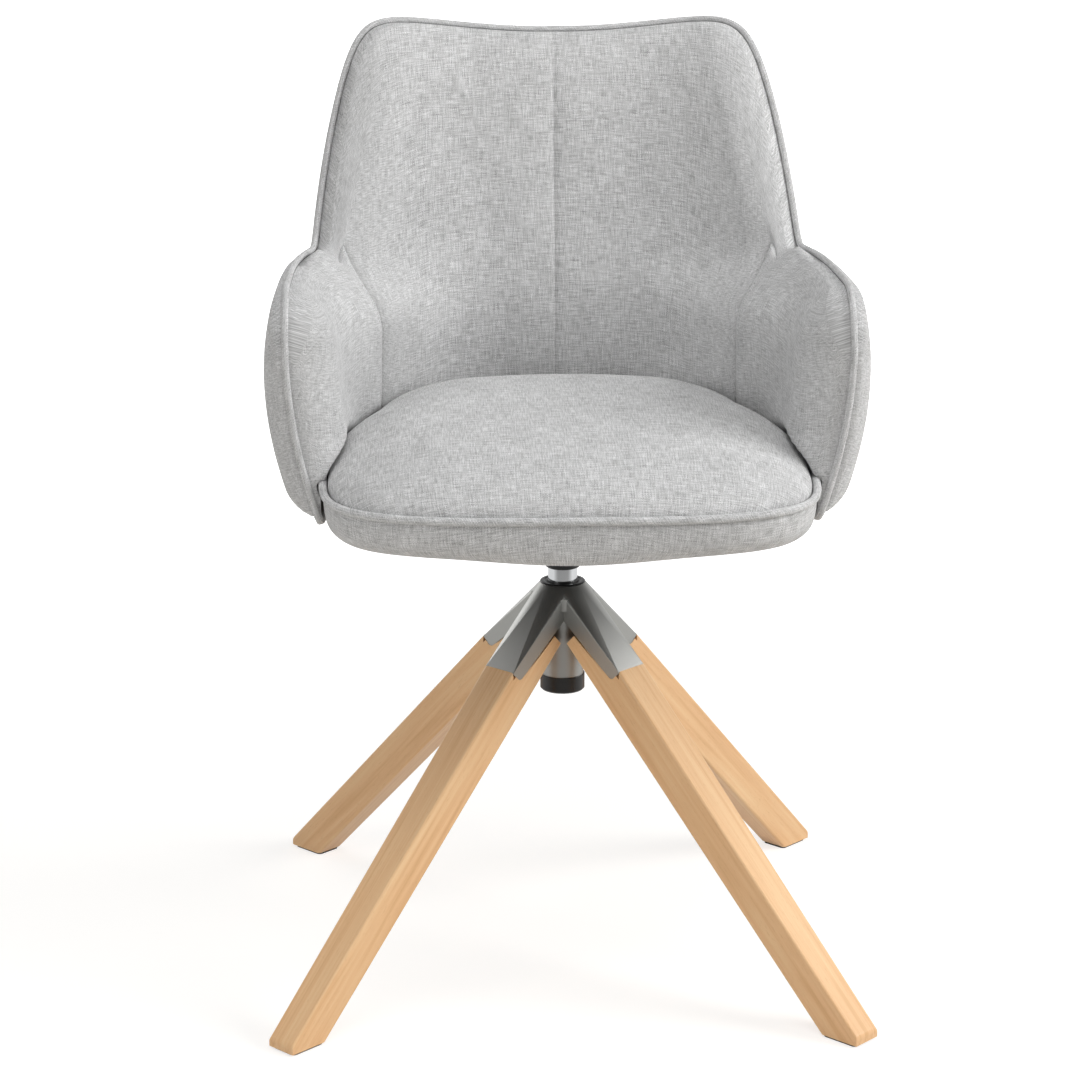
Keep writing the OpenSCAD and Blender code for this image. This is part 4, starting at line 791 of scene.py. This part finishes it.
def swellCloth(piece, held):
    # blows the piece up as sewn cloth while the held points stay; a movement m becomes cap * tanh(m / cap)
    scene = bpy.context.scene
    group = piece.vertex_groups.new(name="held")
    group.add([int(k) for k in np.flatnonzero(held)], 1.0, "REPLACE")
    cloth = piece.modifiers.new("swelling_cloth", "CLOTH")
    cloth.settings.quality = clothWork["quality"]
    cloth.settings.mass = clothWork["mass"]
    cloth.settings.use_pressure = True
    cloth.settings.uniform_pressure_force = clothWork["pressure"]
    cloth.settings.vertex_group_mass = "held"
    cloth.settings.effector_weights.gravity = 0
    cloth.collision_settings.use_collision = False
    cloth.point_cache.frame_start, cloth.point_cache.frame_end = 1, clothWork["lastFrame"]
    start = coordinatesOf(piece.data)
    for frame in range(1, clothWork["lastFrame"] + 1):
        scene.frame_set(frame)
    swollen = piece.evaluated_get(bpy.context.evaluated_depsgraph_get())
    move = coordinatesOf(swollen.data) - start
    piece.modifiers.remove(cloth)
    piece.vertex_groups.remove(group)
    scene.frame_set(1)
    far = np.linalg.norm(move, axis=1, keepdims=True)
    cap = clothWork["furthest"] * mm
    move *= cap * np.tanh(far / cap) / np.maximum(far, 1e-9)
    ends = np.empty(len(piece.data.edges) * 2, np.int32)
    piece.data.edges.foreach_get("vertices", ends)
    here = np.concatenate([ends[::2], ends[1::2]])
    there = np.concatenate([ends[1::2], ends[::2]])
    shares = np.maximum(np.bincount(here, minlength=len(move)), 1)[:, None]
    for _ in range(clothWork["smoothing"]):   # each point takes half of its neighbours' mean movement
        mean = np.stack([np.bincount(here, move[there, k], len(move)) for k in range(3)], -1) / shares
        move = (move + mean) / 2 * ~held[:, None]
    piece.data.vertices.foreach_set("co", (start + move).astype(np.float32).ravel())
    piece.data.update()
    print(piece.name, "swollen by up to", round(float(np.linalg.norm(move, axis=1).max()) / mm, 2), "mm")


def rideSeat(piece, stoodFor):  # a cloth piece on the seat's body, in place of its plain solid
    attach(piece, "seat")
    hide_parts(stoodFor)
    dress(piece, greyLinen)


def upholster(name, face, behind, stoodFor, startColumn=0, seams=None):
    # a padded panel: its face, and behind it the side that lies against the shell. A face with seams is
    # swollen as cloth, held at its back, its edges and seams and below the top of the seat cushion
    piece = makePiece(name, *closedSkin(face, behind), skinCloth(face, behind, startColumn), sharp=85)
    if simulated and seams is not None:
        held = face[..., 2] < clothWork["heldBelow"]
        held[-2:] = True
        held[:, seams] = True
        swellCloth(piece, np.concatenate([held.ravel(), np.ones(behind[..., 0].size, bool)]))
    rideSeat(piece, stoodFor)


middle = len(backStations) - 1
upholster("back_pad_cloth", bothSides("pad", backStations), bothSides("padBack", backStations),
          "back_pad", middle, [0, 1, middle, -2, -1])
upholster("back_cover_cloth", bothSides("cover", backStations), bothSides("coverBack", backStations),
          "back_cover", middle)
for side, word in ((-1, "left"), (1, "right")):
    faces = {kind: layer(kind, armStations, rowSteps, side)
             for kind in ("pad", "padBack", "cover", "coverBack")}
    upholster(f"arm_pad_{word}_cloth", faces["pad"], faces["padBack"],
              f"arm_pad_{word}", 0, [0, 1, -2, -1])
    upholster(f"arm_cover_{word}_cloth", faces["cover"], faces["coverBack"], f"arm_cover_{word}")
print("tub upholstery made")

# Seat upholstery
seatPadding = {"grid": 121, "foamInset": 13, "aboveBoard": 0.5}
seatCentre = np.array([0, seat["centreY"]])


def seatCloth(p):
    # fabric laid over the crown: each point's distance from the middle becomes its length over the crown
    away = p[:, :2] - seatCentre
    r = np.minimum(crownShare(p[:, 0], p[:, 1]), 1)
    reach = np.linalg.norm(away, axis=1) / np.maximum(r, 1e-6)
    steps = np.linspace(0, 1, 60)[None] * r[:, None]
    rise = seat["crown"] * np.sqrt(np.clip(1 - steps ** seat["crownPower"], 0, 1))
    run = np.hypot(np.diff(steps, axis=1) * reach[:, None], np.diff(rise, axis=1)).sum(1)
    return away * (run / np.maximum(r * reach, 1e-6))[:, None]


def cushionGrid(n):
    # a square grid bent to a disc (u = x sqrt(1 - y^2/2)), the disc carried onto the seat's outline,
    # and the crown raised as sqrt(1 - r^power)
    x, y = np.meshgrid(np.linspace(-1, 1, n), np.linspace(-1, 1, n))
    u, w = x * np.sqrt(1 - y * y / 2), y * np.sqrt(1 - x * x / 2)
    r, t = np.minimum(1, np.hypot(u, w)), np.arctan2(u, w)
    r = np.sin(r * np.pi / 2)
    flat = seatCentre + (seatEdge(t, cushionInset) - seatCentre) * r[..., None]
    rise = (seat["crown"] - slack) * np.sqrt(np.clip(1 - r ** seat["crownPower"], 0, 1))
    top = np.concatenate([flat, (seatZ(flat[..., 1]) + rise)[..., None]], -1)
    under = seatCentre + (seatEdge(t, seatPadding["foamInset"]) - seatCentre) * r[..., None]
    bottomZ = seat["boardZ"] + seat["boardThick"] + seatPadding["aboveBoard"]
    bottom = np.concatenate([under, np.full(r.shape + (1,), bottomZ)], -1)
    return top, bottom


cushionPoints, cushionQuads = closedSkin(*cushionGrid(seatPadding["grid"]))
if simulated:
    # even voxels make an even cloth; the fabric is laid on again once the cloth has swollen
    cushion = makePiece("seat_cushion_cloth", cushionPoints, cushionQuads)
    voxels = cushion.modifiers.new("even_cloth", "REMESH")
    voxels.mode = "VOXEL"
    voxels.voxel_size = clothWork["voxel"] * mm
    remade = bpy.data.meshes.new_from_object(cushion.evaluated_get(bpy.context.evaluated_depsgraph_get()))
    cushion.modifiers.remove(voxels)
    cushion.data = remade
    spots = coordinatesOf(remade) / mm
    swellCloth(cushion, spots[:, 2] < seatZ(spots[:, 1]) + clothWork["heldOver"])
    corners = np.empty(len(remade.loops), np.int32)
    remade.loops.foreach_get("vertex_index", corners)
    layClothOn(remade, seatCloth(coordinatesOf(remade) / mm), corners)
    remade.shade_smooth()
    finer = cushion.modifiers.new("finer_cloth", "SUBSURF")
    finer.levels = finer.render_levels = 1
else:
    cushion = makePiece("seat_cushion_cloth", cushionPoints, cushionQuads, seatCloth(cushionPoints))
rideSeat(cushion, "seat_cushion")

seatTurns = np.linspace(0, 2 * np.pi, 360, endpoint=False)
border = {
    "top": seat["lineZ"] - seat["pipeRadius"] - 0.3, "foot": seat["boardZ"] + 0.3,
    "tucks": ((1, 0), (0.5, 5), (0.13, 15)),    # share of the tuck at each height over the foot
    "fullAt": 31, "fullInset": 4, "topInset": 4.6, "innerInset": 12.7, "besideBoard": 2.7, "rows": 33,
    "longestRow": 20,                           # the row on which the fabric lies without easing
}


def tuckAt(t):  # how far the border runs in below: least at front and rear, most at the corners
    return seat["tuck"] * (1 + 0.4 * np.sin(t) ** 2 + 1.6 * np.sin(2 * t) ** 2)


def borderRow(inset, follow, z):  # a row round the seat that follows the rise of the seat's line by a share
    p = seatEdge(seatTurns, inset)
    return np.concatenate([p, (z + follow * (seatZ(p[:, 1]) - seat["lineZ"]))[:, None]], -1)


def throughRows(rows, count):
    # a smooth run through the given rows: each span is a cubic with slopes taken from its neighbours
    rows = np.stack(rows)
    spots = np.linspace(0, len(rows) - 1, count)
    k = np.minimum(spots.astype(int), len(rows) - 2)
    f = (spots - k)[:, None, None]
    slope = np.gradient(rows, axis=0)
    here = (2 * f ** 3 - 3 * f ** 2 + 1) * rows[k] + (f ** 3 - 2 * f ** 2 + f) * slope[k]
    return here + (3 * f ** 2 - 2 * f ** 3) * rows[k + 1] + (f ** 3 - f ** 2) * slope[k + 1]


spareTuck = tuckAt(seatTurns) - border["fullInset"]
rows = [borderRow(border["fullInset"] + share * spareTuck, 0, border["foot"] + up)
        for share, up in border["tucks"]]
rows += [borderRow(border["fullInset"], 0.5, border["foot"] + border["fullAt"]),
         borderRow(border["topInset"], 1, border["top"])]
outside = throughRows(rows, border["rows"])
boardRow = borderRow(tuckAt(seatTurns) + border["besideBoard"], 0, border["foot"])
boardTop = seat["boardZ"] + seat["boardThick"] + 0.3
inside = np.stack([borderRow(border["innerInset"], 1, border["top"]),
                   borderRow(border["innerInset"], 0, boardTop),
                   boardRow + [0, 0, seat["boardThick"]], boardRow])
borderGrid = np.concatenate([outside, inside])
borderCloth = spreadCloth(np.concatenate([borderGrid, borderGrid[:, :1]], 1))
around = borderCloth[border["longestRow"], -1, 0]
borderCloth[..., 0] *= around / borderCloth[:, -1:, 0]
borderPiece = makePiece("seat_border_cloth", borderGrid.reshape(-1, 3),
                        quadGrid(len(borderGrid), len(seatTurns), wrapRows=True, wrapCols=True),
                        borderCloth[:, :-1].reshape(-1, 2), around=around)
rideSeat(borderPiece, "seat_border")

pipingWork = {
    "sides": 14, "uneven": 0.1, "seed": 5,   # unevenness in mm, and the seed of its waves
    "thinOver": 14, "thinTo": 0.35,          # mm over which an open end thins out, and to what share
    "bias": 0.6,                             # the cloth is cut on the bias, so it winds as it goes round
}


def sweptPiping(name, path, up, radius, closed, stoodFor):
    # covered cord: a swept circle whose cloth runs along it, its radius uneven by a sum of small waves
    run = runAlong(path)
    wobble = radius + pipingWork["uneven"] * ripple(run, pipingWork["seed"])
    if not closed:
        fromEnd = np.minimum(run, run[-1] - run)
        wobble = wobble * mix(pipingWork["thinTo"], 1, smoothStep(fromEnd / pipingWork["thinOver"]))
    sides = pipingWork["sides"]
    spoke = np.arange(sides) * 2 * math.pi * radius / sides
    cloth = np.stack(np.broadcast_arrays(run[:, None] + pipingWork["bias"] * spoke, spoke[None]), -1)
    length = run[-1] + np.linalg.norm(path[0] - path[-1]) if closed else 0
    piece = makePiece(name, *sweptTube(path, up, wobble, sides, closed), cloth.reshape(-1, 2), around=length)
    rideSeat(piece, stoodFor)


pipeEdge = seatEdge(seatTurns, seat["pipeRadius"])
pipePath = np.concatenate([pipeEdge, seatZ(pipeEdge[:, 1])[:, None]], -1)
sweptPiping("seat_piping_cord", pipePath, np.array([0, 0, 1.0]), seat["pipeRadius"], True, "seat_piping")

rimWork = {   # the piping's way below the arm's front edge, in mm
    "dropEnd": 2.8, "dropPoints": 23,        # straight down, to this far above the covers' foot
    "turnDown": (2.2, 4.4, 6.0), "turnBack": (0.3, 1.3, 3.0), "turnOut": 0.2,
    "under": (0.954, 0.937, 0.92, 0.905, 0.89, 0.875, 0.86),   # stations along the lower edge
    "underDrop": 0.8, "underOut": 0.6, "tuck": 2.6, "tuckFrom": 0.91, "tuckOver": 0.05,
}
rimStations = np.concatenate([backStations, armStations])
rimStations = leaned(rimStations, np.ones_like(rimStations))
rimDrop = np.linspace(edgeZ(np.array([1.0]), 0.0)[0], tub["baseZ"] + tub["footRise"] + rimWork["dropEnd"],
                      rimWork["dropPoints"] + 1)[1:]
rimTurn = rimDrop[-1] - np.array(rimWork["turnDown"])
rimUnder = np.array(rimWork["under"])


def rimHalf(side):
    # along the rim, down the arm's front and back under the tub's lower edge, where it is tucked up at last
    top = tubPoint(rimStations, edgeZ(rimStations, 0.0), 0, side)
    drop = tubPoint(np.ones(len(rimDrop)), rimDrop, 0, side)
    turn = tubPoint(np.ones(len(rimTurn)), rimTurn, rimWork["turnOut"], side, np.array(rimWork["turnBack"]))
    tuckedUp = rimWork["tuck"] * smoothStep((rimWork["tuckFrom"] - rimUnder) / rimWork["tuckOver"])
    underZ = footZ(rimUnder) - tub["pipeRadius"] - rimWork["underDrop"] + tuckedUp
    under = tubPoint(rimUnder, underZ, rimWork["underOut"], side)
    return np.concatenate([top, drop, turn, under])


def rimUp(side):  # outwards in plan at each point of rimHalf, where the seam of the piping's cloth lies
    below = np.ones(len(rimDrop) + len(rimTurn))
    a = np.radians(planAngle(np.concatenate([rimStations, below, rimUnder])))
    return np.stack([side * np.sin(a), np.cos(a), 0 * a], -1)


rimPath, rimUps = (np.concatenate([half(-1)[:0:-1], half(1)]) for half in (rimHalf, rimUp))
sweptPiping("tub_piping_cord", rimPath, rimUps, tub["pipeRadius"], False, "tub_piping")
print("seat upholstery and piping made")

# Legs and hub
legTurns = {"leg_front_left": 225, "leg_front_right": 315, "leg_rear_left": 135, "leg_rear_right": 45}
legTilt = 44.7          # degrees down from level, for the grain
grainShift = 0.31       # metres between the places in the wood from which the legs are cut
edgeWork = {
    "mergeWithin": 0.01, "flatWithin": 0.6,   # mm and degrees: triangles this flat become one face
    "bevelFrom": 28, "bevelSteps": 3, "legSharp": 32, "hubSharp": 16, "hubBevel": 0.7,
}


def softenedCopy(nodeName, name, bevel, sharp):
    # the CAD node's own shape, merged, with its edges rounded as on the real piece
    copied = nodes[nodeName].copy()
    copied.data = nodes[nodeName].data.copy()
    copied.name = name
    for key in list(copied.keys()):
        del copied[key]
    bpy.context.collection.objects.link(copied)
    copied.hide_render = False
    work = bmesh.new()
    work.from_mesh(copied.data)
    bmesh.ops.remove_doubles(work, verts=work.verts, dist=edgeWork["mergeWithin"] * mm)
    flat = math.radians(edgeWork["flatWithin"])
    bmesh.ops.dissolve_limit(work, angle_limit=flat, verts=work.verts, edges=work.edges)
    work.to_mesh(copied.data)
    work.free()
    copied.data.shade_smooth()
    copied.data.set_sharp_from_angle(angle=math.radians(sharp))
    if bevel:
        rounding = copied.modifiers.new("rounded_edges", "BEVEL")
        rounding.width = bevel * mm
        rounding.segments = edgeWork["bevelSteps"]
        rounding.limit_method = "ANGLE"
        rounding.angle_limit = math.radians(edgeWork["bevelFrom"])
    copied.modifiers.new("flat_faces", "WEIGHTED_NORMAL").keep_sharp = True
    return copied


for k, (nodeName, turn) in enumerate(legTurns.items()):
    leg = softenedCopy(nodeName, nodeName + "_beech", 0, edgeWork["legSharp"])
    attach(leg, "base")
    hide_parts(nodeName)
    dress(leg, beechWood(f"lacquered_beech_{nodeName[4:]}", beechLook, turn, legTilt, grainShift * k))
hub = softenedCopy("hub_casting", "hub_casting_satin", edgeWork["hubBevel"], edgeWork["hubSharp"])
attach(hub, "base")
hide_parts("hub_casting")
dress(hub, castAluminium)

finishes = {
    "foot_glides": blackNylon, "leg_bolts": zincSteel, "leg_washers": zincSteel, "upper_bush": blackNylon,
    "lower_bush": blackNylon, "thrust_washer": whiteAcetal, "end_cap": blackNylon, "column_tube": chromePlate,
    "tube_plug": zincSteel, "keeper_bolt": zincSteel, "keeper_washer": zincSteel, "seat_plate": coatedSteel,
    "plate_bolts": zincSteel, "plate_washers": zincSteel, "tee_nuts": zincSteel, "seat_board": birchPly,
    "tub_ring": coatedSteel, "ring_screws": zincSteel, "dust_cover": dustCloth, "tub_shell": moulding,
}
for nodeName, material in finishes.items():
    dress(nodes[nodeName], material)
print("legs, hub and fittings finished")

# Floor, light and background
studio = {
    "floorSize": 30.0,
    "paperGlow": 1.57,            # the paper's own white as the camera sees it
    "shadowDepth": 0.55,          # share of the floor's white that the lamps give, so that shadow takes it
    "shadowReach": (0.8, 1.6),    # metres from the column over which the floor turns to pure white
    "mirroredFront": 0.3,         # white of the floor's front part as metal mirrors it,
    "frontFade": (-1.0, -0.3),    # fading in between these places on Y, in metres
    "skyLevel": 0.13,             # the room's light on the object
    "mirroredSky": 0.16,          # how dark metal and glass see the room in front, and white behind,
    "skyFade": (-0.35, 0.25),     # changing between these directions on Y
}
softBoxes = {   # place, aim, size in metres and power in watts
    "key_softbox": ((3.0, -0.7, 2.0), (0, 0, 0.5), 1.8, 88.0),
    "fill_softbox": ((-2.4, -2.2, 1.5), (0, 0, 0.5), 1.6, 28.0),
    "top_softbox": ((0.2, 0.1, 3.2), (0, 0, 0.4), 2.4, 22.0),
    "front_softbox": ((0.2, -1.7, 3.1), (0, 0, 0.5), 2.0, 22.0),
    "back_softbox": ((-2.0, 2.4, 1.7), (0, 0, 0.5), 1.8, 18.0),
}


def whiteFloor():
    # seamless white paper: for the camera mostly its own white, of which the object's shadow takes a share
    material, tree = newMaterial("white_studio_paper")
    path = addNode(tree, "ShaderNodeLightPath")
    seen = path.outputs["Is Camera Ray"]
    for ray in ("Is Glossy Ray", "Is Transmission Ray"):
        seen = addNode(tree, "ShaderNodeMath", {0: seen, 1: path.outputs[ray]},
                       operation="MAXIMUM").outputs[0]
    place = addNode(tree, "ShaderNodeTexCoord").outputs["Object"]
    away = addNode(tree, "ShaderNodeVectorMath", {0: place}, operation="LENGTH")
    near, far = studio["shadowReach"]
    share = addNode(tree, "ShaderNodeMapRange", {
        "Value": away.outputs["Value"], "From Min": near, "From Max": far,
        "To Min": 1 - studio["shadowDepth"], "To Max": 1.0})
    mostly = addNode(tree, "ShaderNodeMath", {0: share.outputs[0], 1: seen}, operation="MULTIPLY")
    paper = addNode(tree, "ShaderNodeBsdfDiffuse", {"Color": linearColour("#e9e6e1")})
    parts = addNode(tree, "ShaderNodeSeparateXYZ", {"Vector": place})
    near, far = studio["frontFade"]
    front = addNode(tree, "ShaderNodeMapRange", {
        "Value": parts.outputs[1], "From Min": near, "From Max": far, "To Min": studio["mirroredFront"]})
    level = addNode(tree, "ShaderNodeMix", {
        "Factor": path.outputs["Is Glossy Ray"], "A": studio["paperGlow"], "B": front.outputs[0]},
        data_type="FLOAT")
    white = addNode(tree, "ShaderNodeEmission", {
        "Color": linearColour("#ffffff"), "Strength": level.outputs[0]})
    both = addNode(tree, "ShaderNodeMixShader", {0: mostly.outputs[0], 1: paper.outputs[0],
                                                 2: white.outputs[0]})
    addNode(tree, "ShaderNodeOutputMaterial", {"Surface": both.outputs[0]})
    return material


half = studio["floorSize"] / 2
floorMesh = bpy.data.meshes.new("studio_floor")
floorCorners = [(-half, -half, 0), (half, -half, 0), (half, half, 0), (-half, half, 0)]
floorMesh.from_pydata(floorCorners, [], [(0, 1, 2, 3)])
floor = bpy.data.objects.new("studio_floor", floorMesh)
bpy.context.collection.objects.link(floor)
floor.data.materials.append(whiteFloor())

world = bpy.data.worlds.new("studio")
bpy.context.scene.world = world
world.use_nodes = True
sky = world.node_tree
sky.nodes.clear()
rays = addNode(sky, "ShaderNodeLightPath")
direction = addNode(sky, "ShaderNodeTexCoord").outputs["Generated"]
facing = addNode(sky, "ShaderNodeSeparateXYZ", {"Vector": direction})
near, far = studio["skyFade"]
behind = addNode(sky, "ShaderNodeMapRange", {
    "Value": facing.outputs[1], "From Min": near, "From Max": far, "To Min": studio["mirroredSky"]})
glossy = addNode(sky, "ShaderNodeMath", {
    0: rays.outputs["Is Glossy Ray"], 1: rays.outputs["Is Transmission Ray"]}, operation="MAXIMUM")
level = studio["skyLevel"]
for ray, strength in ((glossy.outputs[0], behind.outputs[0]), (rays.outputs["Is Camera Ray"], 1.0)):
    level = addNode(sky, "ShaderNodeMix", {"Factor": ray, "A": level, "B": strength},
                    data_type="FLOAT").outputs[0]
glow = addNode(sky, "ShaderNodeBackground", {"Color": linearColour("#ffffff"), "Strength": level})
addNode(sky, "ShaderNodeOutputWorld", {"Surface": glow.outputs[0]})


def softBox(name, spot, aim, size, power):  # a square lamp that faces its aim
    lamp = bpy.data.lights.new(name, "AREA")
    lamp.shape = "RECTANGLE"
    lamp.size = lamp.size_y = size
    lamp.energy = power
    box = bpy.data.objects.new(name, lamp)
    box.location = spot
    box.rotation_euler = (Vector(aim) - Vector(spot)).to_track_quat("-Z", "Y").to_euler()
    bpy.context.collection.objects.link(box)


for name, settings in softBoxes.items():
    softBox(name, *settings)
print("studio made")
